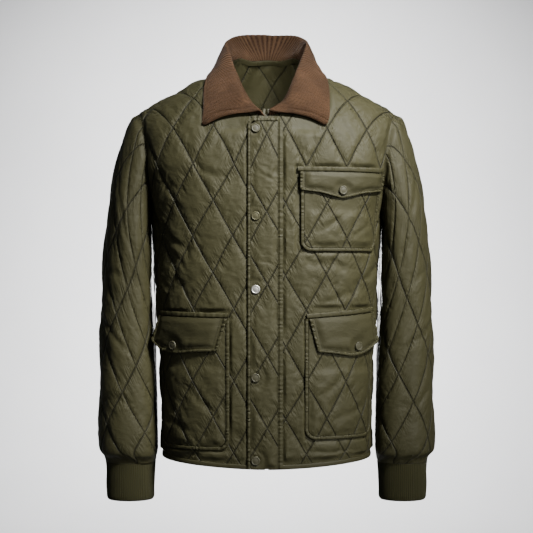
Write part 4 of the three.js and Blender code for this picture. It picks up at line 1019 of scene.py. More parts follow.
def hem_binding():
    """The bound hem: one bar that runs round all four quarters of the body."""
    loops, marks = [], []
    section = bar(HEM_EDGE + 1.2, HEM_WALL + 0.9, -HEM_WALL / 2, 1.0)
    for side, sign in ((-1, -1), (1, -1), (1, 1), (-1, 1)):
        total = float(side_arc(HEM_FRONT, side))
        start = ZIP_HALF + SEAM if side < 0 else 0.0
        p = np.linspace(start, total, int(total / 2.4))[:-1 if side * sign < 0 else None]
        p = sign * (p if side * sign > 0 else p[::-1])
        if side > 0 and sign < 0:
            p = p[:-1]
        r = hem_r(p, side)
        at, out = on_torso(side)(np.broadcast_to(p[:, None], (len(p), len(section))),
                                 r[:, None] + section[None, :, 0])
        ripple = 1 + 0.06 * noise(p / 5, p * 0 + side, 101)
        loops.append(at + out * (section[None, :, 1] * ripple[:, None])[..., None])
        marks.append(np.stack(np.broadcast_arrays(p[:, None] * MM, section[None, :, 0] * MM), -1))
    cloth = Cloth()
    cloth.tube(np.concatenate(loops), np.concatenate(marks))
    return cloth


def blocks(cloth, centre, axes, size):
    """Small six-sided blocks: a centre, three directions and three half sizes each."""
    corner = np.array([(x, y, z) for z in (-1, 1) for x, y in ((-1, -1), (1, -1), (1, 1), (-1, 1))])
    points = centre[:, None] + sum(axes[k][:, None] * (corner[:, k] * size[k])[None, :, None]
                                   for k in range(3))
    ids = cloth.add(points, np.zeros(2))
    for a, b, c, d in ((0, 3, 2, 1), (4, 5, 6, 7), (0, 1, 5, 4), (1, 2, 6, 5), (2, 3, 7, 6),
                       (3, 0, 4, 7)):
        cloth.faces.append(ids[:, [a, b, c, d]])


def zip_closure():
    """Tape between the fronts, with a block for each tooth on alternate sides."""
    front = on_torso(-1)
    cloth = Cloth()
    path = even([(0, HEM_FRONT + 6), (0, FRONT_NECK + 3)], 3)
    ribbon(cloth, path, bar(2 * ZIP_HALF, 1.2, -0.6), front)
    r = np.arange(HEM_FRONT + 10, FRONT_NECK, 2.1)
    p = np.where(np.arange(len(r)) % 2, 0.55, -0.55)
    at, out = front(p, r)
    up = unit(front(p, r + 1)[0] - at)
    blocks(cloth, at, (np.cross(up, out), up, out), (1.3, 0.62, 1.15))
    for sign in (-1, 1):
        end = even([(sign * 4.5, FRONT_NECK - 6), (sign * 4.2, FRONT_NECK + 6),
                    (sign * 3.2, FRONT_NECK + 13)], 1.5)
        ribbon(cloth, end, bar(3.6, 0.9, -2.4), front)
    return cloth


def pocket_ends(k):
    """Distances round the cloth of a pocket's two sides."""
    return round_to(k["near"], k["low"]), round_to(k["far"], k["high"])


def pocket_bag(k):
    """A patch pocket's quilted bag with rounded lower corners, blown out a little by its fold."""
    near_p, far_p = pocket_ends(k)

    def corner(r, size):
        u = np.clip(1 - (r - k["low"]) / size, 0, 1)
        return size * (1 - np.sqrt(1 - u * u))

    rows = int((k["high"] - k["low"]) / 6.9) * 3 + 1
    cols = int((far_p - near_p) / 6.9) * 3 + 1
    r = np.linspace(k["low"] + LAY, k["high"], rows)[:, None]
    start = near_p + LAY + corner(r, k["corner"] + 1)
    end = far_p - LAY - corner(r, k["far_corner"] + 1)
    q = lerp(start, end, np.linspace(0, 1, cols)[None, :])
    p, r = k["sign"] * q, np.broadcast_to(r, q.shape)
    rise, pucker, marks = quilted(p, r, CROSS[k["panel"]], 111)
    flap_low = min(z for _, z in k["flap"])
    edge = np.minimum.reduce([q - start, end - q, r - r[0, 0]])
    bare = smooth((flap_low - 16 - r) / 16)
    ruck = 0.9 * noise((p + r) / 9, (p - r) / 30, 113) * np.exp(-edge / 14) * smooth(edge / 3)
    high = (0.85 * PUFF * rise * smooth(edge / FADE) + pucker * smooth(edge / 4) + ruck) * bare
    high = high + creases(q, r, CREASES[k["name"]], 115) * smooth(edge / 5) * bare
    at, out = on_torso(-1)(p, r)
    cloth = Cloth()
    cloth.wall(at + out * (OVER + WALL / 2 + np.maximum(high, -0.7))[..., None],
               at + out * (OVER - WALL / 2), marks)
    return cloth, (far_p - near_p, k["high"] - k["low"])


def pocket_path(k):
    """The line of a pocket's piping, down one side, round the floor and up the other."""
    near_p, far_p = pocket_ends(k)
    a = np.linspace(0, np.pi / 2, 10)
    c, f, low = k["corner"], k["far_corner"], k["low"]
    first = np.stack([near_p + c * (1 - np.cos(a)), low + c * (1 - np.sin(a))], -1)
    last = np.stack([far_p - f * (1 - np.sin(a)), low + f * (1 - np.cos(a))], -1)
    path = np.concatenate([[(near_p, k["high"])], first, last, [(far_p, k["high"])]])
    return even(path, 1.6) * np.array([k["sign"], 1])


def flap_map(k):
    """A pocket flap's surface as a function of shares across and down, and its size."""
    near_p, far_p = pocket_ends(k)
    corners = [(round_to(x, z), z) for x, z in k["flap"]]
    low = even(corners, 1.5)
    blur = np.ones(7) / 7
    low = np.stack([np.convolve(np.pad(low[:, m], 3, mode="reflect", reflect_type="odd"), blur,
                                mode="valid") for m in range(2)], -1)
    mark = np.linspace(0, 1, len(low))
    wide, tall = corners[-1][0] - corners[0][0], k["high"] - min(z for _, z in corners)

    def top(p):
        return k["high"] - 0.3 + k["rise"] * (p - near_p) / (far_p - near_p)

    def spot(across, down):
        u, v = across / wide, down / tall
        p1, r1 = np.interp(u, mark, low[:, 0]), np.interp(u, mark, low[:, 1])
        p0 = lerp(p1 - k["slant"], p1 + (-4 if k["flare"] else 1), u)
        at, out = on_torso(-1)(k["sign"] * lerp(p0, p1, v), lerp(top(p0), r1, v))
        lift = k["flare"] * np.maximum(0, u - 0.45) ** 2 * 3.3 * v
        return at + out * lift[..., None], out

    snap = ((round_to(*k["snap"]) - corners[0][0]), k["high"] - k["snap"][1])
    return spot, wide, tall, snap, top


LAP = OVER + WALL + LAY + 0.5
FLAP_BINDING = 4.6


def pocket_flap(k):
    """The flap: a padded sheet that swells between its edges and dips round the snap."""
    spot, wide, tall, snap, _ = flap_map(k)
    cols, rows = int(wide / 6) * 3 + 1, int(tall / 6) * 3 + 1
    inset = FLAP_BINDING + SEAM
    across, down = np.meshgrid(np.linspace(inset, wide - inset, cols),
                               np.linspace(0.3, tall - inset, rows))
    edge = np.minimum.reduce([across - inset, wide - inset - across, tall - inset - down])
    at, out = spot(across, down)
    from_snap = np.hypot(across - snap[0], down - snap[1])
    dip = smooth((from_snap - 7) / 13)
    swell = 2.6 * smooth(edge / 13) * smooth((down + 2) / 12) * dip
    ruck = 0.8 * noise(across / 7, down / 26, 121) * np.exp(-edge / 16) * smooth(edge / 3)
    ruck = ruck + 0.6 * noise(across / 18 + down / 30, down / 11, 122) * smooth(edge / 8) * dip
    groove = -0.5 * np.exp(-(((edge - 4.5) / 1.0) ** 2))
    high = swell + ruck + groove
    cloth = Cloth()
    marks = np.stack([across, down], -1) * MM
    cloth.wall(at + out * (LAP + WALL / 2 + high)[..., None], at + out * (LAP - WALL / 2), marks)
    return cloth, (wide, tall)


def flap_edge(k, inset, radius=4.0):
    """The line round a flap's three free sides, in millimetres across and down it."""
    _, wide, tall, _, _ = flap_map(k)
    a = np.linspace(0, np.pi / 2, 7)
    x0, x1, y1 = inset, wide - inset, tall - inset
    turn = np.stack([x0 + radius * (1 - np.cos(a)), y1 - radius * (1 - np.sin(a))], -1)
    back = np.stack([x1 - radius * (1 - np.sin(a)), y1 - radius * (1 - np.cos(a))], -1)
    return even(np.concatenate([[(x0, 0.3)], turn, back, [(x1, 0.3)]]), 2.0)


def snap_cap(spot, p, r, base):
    """A pressed cap: rings of a turned profile with a raised rim and a low dome."""
    profile = np.array([
        (0.5, 0), (0.92, 0), (1.0, 0.22), (1.0, 0.5), (0.95, 0.8), (0.87, 0.97), (0.8, 0.98),
        (0.74, 0.84), (0.66, 0.78), (0.5, 0.88), (0.3, 0.96), (0.1, 1),
    ])
    at, out = spot(np.array(p), np.array(r))
    side = unit(spot(np.array(p) + 1, np.array(r))[0] - at)
    up = np.cross(side, out)
    angle = np.arange(40) * 2 * np.pi / 40
    ring = np.cos(angle)[:, None] * side + np.sin(angle)[:, None] * up
    loops = (at + out * base + ring[None] * (profile[:, 0] * SNAP_RADIUS)[:, None, None]
             + out * (profile[:, 1] * SNAP_HIGH)[:, None, None])
    cloth = Cloth()
    cloth.tube(loops, np.zeros(2))
    return cloth


def stitches(cloth, path, spot, high, pitch=3.3):
    """Thread along a path: a small eight-sided lozenge for each stitch, half sunk in the cloth."""
    line = even(path, pitch)
    p, r = line[:, 0], line[:, 1]
    step = np.gradient(line, axis=0)
    at, out = spot(p, r)
    ahead = unit(spot(p + step[:, 0] * 0.3, r + step[:, 1] * 0.3)[0] - at)
    side = np.cross(ahead, out)
    at = at + out * high
    shape = ((-0.36 * pitch, 0, -0.15), (0, 0.42, 0.05), (0, 0, 0.38), (0, -0.42, 0.05),
             (0, 0, -0.3), (0.36 * pitch, 0, -0.15))
    points = np.stack([at + ahead * x + side * y + out * z for x, y, z in shape], 1)
    ids = cloth.add(points, np.zeros(2))
    for a, b in ((1, 2), (2, 3), (3, 4), (4, 1)):
        cloth.faces.append(ids[:, [0, b, a]])
        cloth.faces.append(ids[:, [5, a, b]])


# Main folds of the worn cloth on each piece: p and r of both ends, width, depth
CREASES = {
    "front_left": (
        (-150, -150, -60, -215, 7, 1.6), (-225, -250, -120, -330, 6, 1.8),
        (-240, -300, -150, -300, 7, 1.5), (-60, -330, -170, -395, 8, 1.5),
        (-235, -372, -175, -402, 5, 1.4), (-60, -655, -160, -668, 5, 1.3),
        (-120, -60, -165, -130, 6, 1.4),
    ),
    "front_right": (
        (225, -262, 165, -345, 6, 1.8), (235, -330, 120, -390, 7, 1.7),
        (52, -330, 160, -352, 7, 1.4), (60, -410, 200, -372, 6, 1.3),
        (52, -652, 170, -660, 5, 1.4), (110, -70, 150, -150, 6, 1.2),
    ),
    "back": (
        (-215, -240, -110, -330, 8, 1.9), (215, -240, 110, -330, 8, 1.9),
        (-120, -90, 40, -110, 9, 1.3), (-60, -420, 90, -440, 9, 1.5),
        (120, -500, 220, -470, 7, 1.5), (-230, -520, -120, -560, 7, 1.5),
        (-40, -600, 120, -640, 7, 1.2), (130, -130, 60, -220, 7, 1.3),
    ),
    "sleeve_left": (
        (40, -60, 150, -140, 8, 1.8), (120, -190, 10, -250, 7, 1.7), (20, -290, 130, -330, 7, 1.9),
        (-60, -320, 60, -300, 7, 1.6), (110, -400, 10, -430, 7, 1.6), (60, -505, 150, -520, 5, 1.4),
        (-20, -560, 70, -575, 5, 1.3), (-150, -380, -60, -420, 7, 1.6),
        (-120, -120, -40, -200, 8, 1.6),
    ),
    "sleeve_right": (
        (40, -70, 150, -150, 8, 1.8), (110, -200, 20, -240, 7, 1.5), (10, -300, 120, -320, 7, 1.9),
        (-50, -340, 70, -350, 7, 1.6), (120, -420, 20, -400, 7, 1.6), (40, -520, 140, -500, 5, 1.4),
        (-30, -575, 60, -560, 5, 1.3), (-150, -400, -60, -430, 7, 1.6),
        (-120, -120, -40, -200, 8, 1.6),
    ),
    "placket": (
        (-20, -330, 18, -345, 3, 0.7), (-20, -590, 18, -600, 3, 0.7), (-15, -190, 18, -205, 3, 0.7),
    ),
    "chest_pocket": ((75, -290, 150, -250, 5, 1.2), (140, -305, 185, -262, 4, 1.0)),
    "pocket_left": ((75, -600, 150, -540, 6, 1.3), (110, -635, 200, -590, 6, 1.2)),
    "pocket_right": ((75, -570, 150, -520, 6, 1.3), (100, -612, 190, -570, 6, 1.2)),
}


class Num:
    """A number that varies over a surface. Arithmetic on it adds Math nodes."""

    def __init__(self, shader, socket):
        self.shader, self.socket = shader, socket

    def math(self, kind, *others, swap=False):
        """The result of one Math node on this number and others."""
        values = [self, *others]
        if swap:
            values.reverse()
        inputs = {f"i{k}": v for k, v in enumerate(values)}
        return Num(self.shader, self.shader.node("Math", {"operation": kind}, **inputs).outputs[0])

    def __add__(self, other):
        return self.math("ADD", other)

    def __sub__(self, other):
        return self.math("SUBTRACT", other)

    def __rsub__(self, other):
        return self.math("SUBTRACT", other, swap=True)

    def __mul__(self, other):
        return self.math("MULTIPLY", other)

    __radd__, __rmul__ = __add__, __mul__

    def rise(self, low, high):
        """0 below low, 1 above high, with a smooth step between."""
        made = self.shader.node("MapRange", {"interpolation_type": "SMOOTHSTEP"},
                                Value=self, From_Min=low, From_Max=high)
        return Num(self.shader, made.outputs[0])

    def ridged(self):
        """Noise from 0 to 1 folded at its middle, so that it peaks along thin lines."""
        return 1.0 - (self * 2.0 - 1.0).math("ABSOLUTE")

    def wave(self):
        """0 at each even whole number and 1 at each odd one, straight between."""
        return 1.0 - (1.0 - (self * 0.5).math("FRACT") * 2.0).math("ABSOLUTE")


class Shader:
    """One material and its nodes."""

    def __init__(self, name, roughness, **uniform):
        self.material = bpy.data.materials.new(name)
        self.material.use_nodes = True
        self.tree = self.material.node_tree
        self.tree.nodes.clear()
        self.skin = self.node("BsdfPrincipled")
        self.node("OutputMaterial", Surface=self.skin.outputs[0])
        self.set(Roughness=roughness, **uniform)

    def node(self, kind, settings=None, **inputs):
        """Adds a node: its settings first, then values or links, by name or as i and a number."""
        made = self.tree.nodes.new("ShaderNode" + kind)
        for key, value in (settings or {}).items():
            setattr(made, key, value)
        self.fill(made, inputs)
        return made

    def fill(self, made, inputs):
        """Sets or links a node's sockets."""
        for key, value in inputs.items():
            numbered = key[0] == "i" and key[1:].isdigit()
            socket = made.inputs[int(key[1:])] if numbered else made.inputs[key.replace("_", " ")]
            if isinstance(value, Num):
                value = value.socket
            if isinstance(value, bpy.types.NodeSocket):
                self.tree.links.new(value, socket)
            else:
                socket.default_value = value

    def set(self, **inputs):
        """Sets the surface's own sockets."""
        self.fill(self.skin, inputs)

    def pattern(self):
        """The piece's own pattern coordinates, as two numbers."""
        made = self.node("SeparateXYZ", i0=self.node("UVMap", {"uv_map": "pattern"}).outputs[0])
        return Num(self, made.outputs[0]), Num(self, made.outputs[1])

    def grain(self, scale, detail=2.0, stretch=(1, 1, 1)):
        """Soft noise from 0 to 1 in the object's own metres."""
        place = self.node("Mapping", None, Vector=self.node("TexCoord").outputs["Object"],
                          Scale=stretch)
        made = self.node("TexNoise", None, Vector=place.outputs[0], Scale=scale, Detail=detail)
        return Num(self, made.outputs[0])

    def streaks(self, x, y, z, detail=2.0):
        """Soft noise at a place worked out from three numbers."""
        place = self.node("CombineXYZ", None, X=x, Y=y, Z=z)
        made = self.node("TexNoise", None, Vector=place.outputs[0], Scale=1.0, Detail=detail)
        return Num(self, made.outputs[0])

    def mix(self, share, low, high):
        """Colours mixed by a share."""
        settings = {"data_type": "RGBA"}
        return self.node("Mix", settings, i0=share, i6=low, i7=high).outputs[2]

    def bump(self, height, distance, strength=1.0, normal=None):
        """A normal bent by a height."""
        inputs = {"Height": height, "Distance": distance, "Strength": strength}
        if normal is not None:
            inputs["Normal"] = normal
        return self.node("Bump", None, **inputs).outputs[0]


def shade(colour, share):
    """A colour made darker or lighter by a share."""
    return tuple(min(1.0, c * share) for c in colour[:3]) + (1.0,)


def nylon(name, colour, lined, dull=0.6):
    """Woven nylon: light satin gloss, faint crinkles whose ridges carry a painted highlight, and on
    quilted cloth the stitched lines, darkened along their grooves as painted shade.
    """
    made = Shader(name, dull, Specular_IOR_Level=0.24)
    drift = made.grain(7.0, 3.0)
    crinkle = made.grain(46.0, 4.0, (1, 1, 1.7)).ridged()
    weave = made.grain(1400.0, 1.0)
    body = made.mix(drift.rise(0.3, 0.7), shade(colour, 0.93), shade(colour, 1.07))
    # painted highlight: the crinkle ridges are lightened towards 1.16 of the cloth colour, standing
    # for light catching them
    body = made.mix(crinkle.rise(0.3, 1.0) * 0.4, body, shade(colour, 1.16))
    height = crinkle * 1.1 + weave * 0.12
    if lined:
        a, b = made.pattern()
        da, db = a.wave() * LINE_MM, b.wave() * LINE_MM
        away = da.math("MINIMUM", db)
        first = da.math("LESS_THAN", db)
        run = b * first + a * (1.0 - first)
        dash = (run * (SIDE_MM / 3.1)).math("FRACT").math("LESS_THAN", 0.7)
        thread = dash * (1.0 - away.rise(0.25, 0.6))
        # painted shade: the cloth is darkened to 0.3 within a couple of millimetres of each
        # stitched line, standing for the shade in its groove; the thread itself is its own colour
        line = away.rise(0.2, 1.7)
        body = made.mix(line, shade(colour, 0.3), body)
        body = made.mix(thread * 0.8, body, shade(colour, 0.8))
        height = height + line * 2.2 + thread * 0.8
        for off, other in ((a, b), (b, a)):
            row = (off * 0.5).math("ROUND")
            flank = (off - row * 2.0).math("SIGN")
            reach = off.wave() * LINE_MM
            stroke = made.streaks(other * (SIDE_MM / 6.5), row * 7.3 + flank, reach * 0.05)
            fading = 1.0 - reach.rise(2.0, 22.0)
            height = height + stroke.ridged() * fading * 2.6
    made.set(Base_Color=body, Roughness=crinkle * 0.12 + (dull - 0.06),
             Normal=made.bump(height, 0.0007, 0.9))
    return made.material


def corduroy(colour):
    """Cut pile: painted shade in the valleys between the wales and a painted highlight on their
    tops, a soft nap and a sheen.
    """
    made = Shader("brown_corduroy", 0.92, Specular_IOR_Level=0.12, Sheen_Weight=0.04,
                  Sheen_Roughness=0.4)
    count, _ = made.pattern()
    # top is 1 on the wale ridges and 0 in the valleys; it masks the painted shade and highlight
    # below
    top = (count * 2.0 + 1.0).wave().rise(0.25, 0.8)
    nap = made.grain(420.0, 3.0)
    worn = made.grain(22.0, 3.0)
    # painted shade and highlight: the wale valleys are darkened to 0.12 and the wale tops lightened
    # to 1.45, standing for how light falls on the ridges
    body = made.mix(top, shade(colour, 0.12), shade(colour, 1.45))
    body = made.mix(nap.rise(0.3, 0.7) * 0.5, body, shade(colour, 1.7))
    body = made.mix(worn.rise(0.4, 0.62) * 0.55, body, shade(colour, 0.5))
    made.set(Base_Color=body, Normal=made.bump(nap * 0.8 + top * 0.6, 0.0005, 0.7))
    return made.material


def knit(colour):
    """Rib knit: small slanted loops down every rib, with painted shade between the ribs and a
    painted highlight on the loops.
    """
    made = Shader("rib_knit", 0.95, Specular_IOR_Level=0.15, Sheen_Weight=0.04, Sheen_Roughness=0.5)
    across, down = made.pattern()
    rib = (across * (2 * CUFF_RIBS / (2 * math.pi * 0.04))).wave()
    loops = (down * 1200.0 + rib * 0.9).wave()
    fuzz = made.grain(700.0, 2.0)
    # painted shade: darker between the ribs, towards 0.62 of the yarn colour
    body = made.mix(rib.rise(0.05, 0.8), shade(colour, 0.62), shade(colour, 1.06))
    # painted highlight: the loops are lightened towards 1.25 of the yarn colour
    body = made.mix(loops.rise(0.0, 0.9) * 0.5, body, shade(colour, 1.25))
    made.set(Base_Color=body, Normal=made.bump(loops * 0.7 + fuzz * 0.5, 0.0004, 0.7))
    return made.material


def metal(name, colour, roughness, metallic):
    """Pressed metal with fine scratches and small dents."""
    made = Shader(name, roughness, Specular_IOR_Level=0.5)
    scratch = made.grain(600.0, 3.0, (1, 1, 0.1))
    body = made.mix(scratch.rise(0.35, 0.7) * 0.5, colour, shade(colour, 0.75))
    made.set(Base_Color=body, Metallic=metallic, Roughness=scratch * 0.2 + (roughness - 0.1),
             Normal=made.bump(scratch, 0.0001, 0.3))
    return made.material


def plain(name, colour, roughness, scale):
    """A matt surface with faint mottling."""
    made = Shader(name, roughness, Specular_IOR_Level=0.25)
    mottle = made.grain(scale, 3.0)
    made.set(Base_Color=made.mix(mottle, shade(colour, 0.94), shade(colour, 1.04)),
             Normal=made.bump(mottle, 0.0002, 0.2))
    return made.material


def material(name):
    """The named material, made on first use from the colours in the settings."""
    found = bpy.data.materials.get(name)
    if found:
        return found
    c = bpy.context.scene.jacket_colours
    makers = {
        "quilted_nylon": lambda: nylon("quilted_nylon", c.nylon, True),
        "plain_nylon": lambda: nylon("plain_nylon", shade(c.nylon, 0.92), False),
        "brown_corduroy": lambda: corduroy(c.corduroy),
        "rib_knit": lambda: knit(c.knit),
        "olive_cap": lambda: metal("olive_cap", shade(c.cap, 1.0), 0.6, 0.0),
        "rimmed_cap": lambda: metal("rimmed_cap", shade(c.cap, 1.6), 0.5, 0.4),
        "bright_cap": lambda: metal("bright_cap", shade(c.bright, 1.0), 0.25, 0.9),
        "zip_tape": lambda: plain("zip_tape", shade(c.nylon, 0.7), 0.8, 900.0),
        "thread": lambda: plain("thread", shade(c.nylon, 0.62), 0.7, 2500.0),
        "studio_paper": lambda: plain("studio_paper", shade(c.paper, 1.0), 0.95, 3.0),
    }
    return makers[name]()


class JacketColours(bpy.types.PropertyGroup):
    """Colours of the cloths and fittings."""

    nylon: bpy.props.FloatVectorProperty(
        name="Nylon", description="Shell cloth", subtype="COLOR", size=3,
        default=(0.031, 0.0286, 0.0110), min=0, max=1)
    corduroy: bpy.props.FloatVectorProperty(
        name="Corduroy", description="Collar pile", subtype="COLOR", size=3,
        default=(0.050, 0.0264, 0.0130), min=0, max=1)
    knit: bpy.props.FloatVectorProperty(
        name="Rib knit", description="Cuff yarn", subtype="COLOR", size=3,
        default=(0.027, 0.0255, 0.0092), min=0, max=1)
    cap: bpy.props.FloatVectorProperty(
        name="Snap caps", description="Painted caps", subtype="COLOR", size=3,
        default=(0.04, 0.037, 0.017), min=0, max=1)
    bright: bpy.props.FloatVectorProperty(
        name="Bright cap", description="The unpainted cap", subtype="COLOR", size=3,
        default=(0.7, 0.66, 0.56), min=0, max=1)
    paper: bpy.props.FloatVectorProperty(
        name="Backdrop", description="Studio paper", subtype="COLOR", size=3,
        default=(0.72, 0.72, 0.73), min=0, max=1)


class JacketStudio(bpy.types.PropertyGroup):
    """Camera and lights."""

    distance: bpy.props.FloatProperty(
        name="Camera distance", description="From the jacket's middle plane", default=2.7,
        min=0.5, max=10, unit="LENGTH")
    height: bpy.props.FloatProperty(
        name="Camera height", description="Above the neck points", default=-0.344, min=-3, max=3,
        unit="LENGTH")
    lens: bpy.props.FloatProperty(
        name="Lens", description="Focal length in millimetres", default=104.2, min=20, max=300,
        unit="CAMERA")
    key: bpy.props.FloatProperty(
        name="Key light", description="Strength of the large light above the front", default=5.6,
        min=0, max=1000, unit="POWER")
    fill: bpy.props.FloatProperty(
        name="Fill light", description="Strength of each light at the sides", default=2.2, min=0,
        max=1000, unit="POWER")
    back: bpy.props.FloatProperty(
        name="Backdrop light", description="Strength of the light on the paper", default=230.0,
        min=0, max=2000, unit="POWER")


# Each sheet's flat size in millimetres, as its piece is made
FLAT = {}


class JACKET_OT_panels(bpy.types.Operator):
    """Makes the two fronts and the back"""

    bl_idname = "jacket.panels"
    bl_label = "Fronts and back"

    def execute(self, context):
        for name in ("front_left", "front_right"):
            cloth, FLAT[name + "_cloth"] = front_panel(name)
            cloth.build(name + "_cloth", material("quilted_nylon"), "shell", [name])
        cloth, FLAT["back_cloth"] = back_panel()
        cloth.build("back_cloth", material("quilted_nylon"), "shell", ["back"])
        return {"FINISHED"}


class JACKET_OT_sleeves(bpy.types.Operator):
    """Makes the sleeves and their rib-knit cuffs"""

    bl_idname = "jacket.sleeves"
    bl_label = "Sleeves and cuffs"

    def execute(self, context):
        for side in ("left", "right"):
            name = f"sleeve_{side}_cloth"
            cloth, FLAT[name] = sleeve("sleeve_" + side)
            cloth.build(name, material("quilted_nylon"), "shell", ["sleeve_" + side])
            name = f"cuff_{side}_knit"
            cloth, FLAT[name] = cuff("cuff_" + side)
            cloth.build(name, material("rib_knit"), "knit", ["cuff_" + side])
        return {"FINISHED"}


class JACKET_OT_collar(bpy.types.Operator):
    """Makes the corduroy collar"""

    bl_idname = "jacket.collar"
    bl_label = "Collar"

    def execute(self, context):
        cloth, FLAT["collar_corduroy"] = collar()
        cloth.build("collar_corduroy", material("brown_corduroy"), "corduroy", ["collar"])
        return {"FINISHED"}


class JACKET_OT_trims(bpy.types.Operator):
    """Makes the placket, its edges, the zip, the bound hem and the neck tape"""

    bl_idname = "jacket.trims"
    bl_label = "Placket, zip, hem and neck tape"

    def execute(self, context):
        cloth, FLAT["placket_cloth"] = placket()
        cloth.build("placket_cloth", material("quilted_nylon"), "shell", ["placket"])
        for name, path, section, spot in trims():
            cloth = Cloth()
            ribbon(cloth, path, section, spot, 0.16, len(name))
            cloth.build(name + "_strip", material("plain_nylon"), "trim", [name])
        hem_binding().build("hem_binding_strip", material("plain_nylon"), "trim", ["hem_binding"])
        zip_closure().build("zip_teeth", material("zip_tape"), "zip_tape", ["zip"])
        return {"FINISHED"}


class JACKET_OT_pockets(bpy.types.Operator):
    """Makes the three flap pockets"""

    bl_idname = "jacket.pockets"
    bl_label = "Pockets"

    def execute(self, context):
        for k in POCKETS:
            name = k["name"]
            cloth, FLAT[name + "_bag_cloth"] = pocket_bag(k)
            cloth.build(name + "_bag_cloth", material("quilted_nylon"), "shell", [name + "_bag"])
            cloth, FLAT[name + "_flap_cloth"] = pocket_flap(k)
            cloth.build(name + "_flap_cloth", material("plain_nylon"), "shell", [name + "_flap"])
            spot, _, _, _, top = flap_map(k)
            lean = 0.0 if k["sign"] > 0 else 1.0
            rows = (
                ("_piping", pocket_path(k), bar(PIPING, 4.0, OVER - 1.1, lean), on_torso(-1)),
                ("_flap_binding", flap_edge(k, 0.2), bar(FLAP_BINDING, 3.8, LAP - 1.3, 0.0), spot),
            )
            start, end = (round_to(x, k["high"]) for x in k["welt"])
            line = np.array([(k["sign"] * p, top(p) + 0.7) for p in np.linspace(start, end, 40)])
            rows += (("_welt", even(line, 2.2), bar(WELT_TALL, 4.3, OVER - 0.9, 1.0 - lean),
                      on_torso(-1)),)
            for part, path, section, where in rows:
                cloth = Cloth()
                ribbon(cloth, path, section, where, 0.14, len(part))
                cloth.build(name + part + "_strip", material("plain_nylon"), "trim", [name + part])
        return {"FINISHED"}


class JACKET_OT_snaps(bpy.types.Operator):
    """Makes the snap caps"""

    bl_idname = "jacket.snaps"
    bl_label = "Snaps"

    def execute(self, context):
        looks = ("olive_cap", "rimmed_cap", "bright_cap", "olive_cap", "olive_cap")
        for k, (r, look) in enumerate(zip(SNAPS_R, looks)):
            cloth = snap_cap(on_torso(-1), SNAP_P, r, OVER + WALL / 2 + 0.5)
            slot = "bright_cap" if look == "bright_cap" else "snap_cap"
            node = f"placket_snap_{k + 1}"
            cloth.build(node + "_cap", material(look), slot, [node])
        for k in POCKETS:
            spot, _, _, snap, _ = flap_map(k)
            cloth = snap_cap(spot, snap[0], snap[1], LAP + WALL / 2 + 1.0)
            cloth.build(k["name"] + "_snap_cap", material("olive_cap"), "snap_cap",
                        [k["name"] + "_snap"])
        return {"FINISHED"}


class JACKET_OT_stitching(bpy.types.Operator):
    """Sews the edges: rows of thread on the placket, the pockets and the flaps"""

    bl_idname = "jacket.stitching"
    bl_label = "Stitching"

    def execute(self, context):
        front = on_torso(-1)
        body = Cloth()
        top = PLACKET_TOP - 6
        flat = OVER + WALL / 2 + 0.25
        for x in (PLACKET_RIGHT - PLACKET_STRIP + 1.5, PLACKET_RIGHT - 1.5):
            stitches(body, [(x, HEM_FRONT + 4), (x, top)], front, flat)
        x = PLACKET_LEFT + PLACKET_BINDING + 1.6
        stitches(body, [(x, HEM_FRONT + 4), (x, PLACKET_TOP - 20)], front, OVER + WALL / 2 + 0.1)
        body.build("placket_stitching", material("thread"), "trim", [])
        for k in POCKETS:
            sewn = Cloth()
            path = pocket_path(k)
            tangent = np.gradient(path, axis=0)
            tangent /= np.linalg.norm(tangent, axis=1)[:, None]
            side = np.stack([-tangent[:, 1], tangent[:, 0]], -1) * k["sign"]
            stitches(sewn, path + side * 1.9, front, OVER + WALL / 2 + 0.05)
            spot, _, _, _, _ = flap_map(k)
            stitches(sewn, flap_edge(k, FLAP_BINDING + 4.4, 2.0), spot, LAP + WALL / 2 + 1.2, 3.0)
            sewn.build(k["name"] + "_stitching", material("thread"), "trim", [])
        return {"FINISHED"}


def light(name, place, aim, power, size, spread):
    """A soft box at a place, turned to a point, with a grid that narrows it to some degrees."""
    data = bpy.data.lights.new(name, "AREA")
    data.energy, data.spread = power, math.radians(spread)
    data.shape, data.size, data.size_y = "RECTANGLE", size[0], size[1]
    lamp = bpy.data.objects.new(name, data)
    bpy.context.scene.collection.objects.link(lamp)
    lamp.location = place
    lamp.rotation_euler = (Vector(aim) - Vector(place)).to_track_quat("-Z", "Y").to_euler()


class JACKET_OT_sheets(bpy.types.Operator):
    """Does nothing: it stands among the steps but states no sheet"""

    bl_idname = "jacket.sheets"
    bl_label = "Flat sizes"

    def execute(self, context):
        return {"FINISHED"}


# Paper sweep, in metres: floor, back wall, its rounding, front end, height and half width
PAPER_FLOOR, PAPER_WALL, PAPER_ROUND = -1.45, 4.6, 1.6
PAPER_FRONT, PAPER_TALL, PAPER_HALF = -7.0, 7.0, 8.0
# name, place, point that it is turned to, setting and share of it, size, spread in degrees
LAMPS = (
    ("key", (1.1, -1.6, 1.5), (0.05, -0.1, -0.2), "key", 1.0, (0.5, 0.4), 23),
    ("side", (1.5, -2.1, 0.0), (0.22, 0, -0.62), "fill", 0.8, (0.6, 0.6), 34),
    ("front", (0.2, -3.4, 0.4), (0, 0, -0.3), "fill", 0.5, (1.4, 1.4), 180),
    ("neck", (0, -2.4, 0.65), (0, 0.1, 0.0), "fill", 0.03, (0.08, 0.08), 4),
    ("top", (-0.1, 0.05, 1.7), (0, 0, 0), "key", 0.16, (1.0, 0.6), 90),
    ("rear", (0, 2.6, -0.38), (0, 0.1, -0.36), "key", 0.25, (0.12, 0.12), 12),
    ("backdrop", (0, 2.3, 1.2), (0, 4.6, -0.75), "back", 0.45, (1.2, 0.5), 100),
)
SKY, SKY_STRENGTH = (0.9, 0.95, 1.0, 1), 0.12


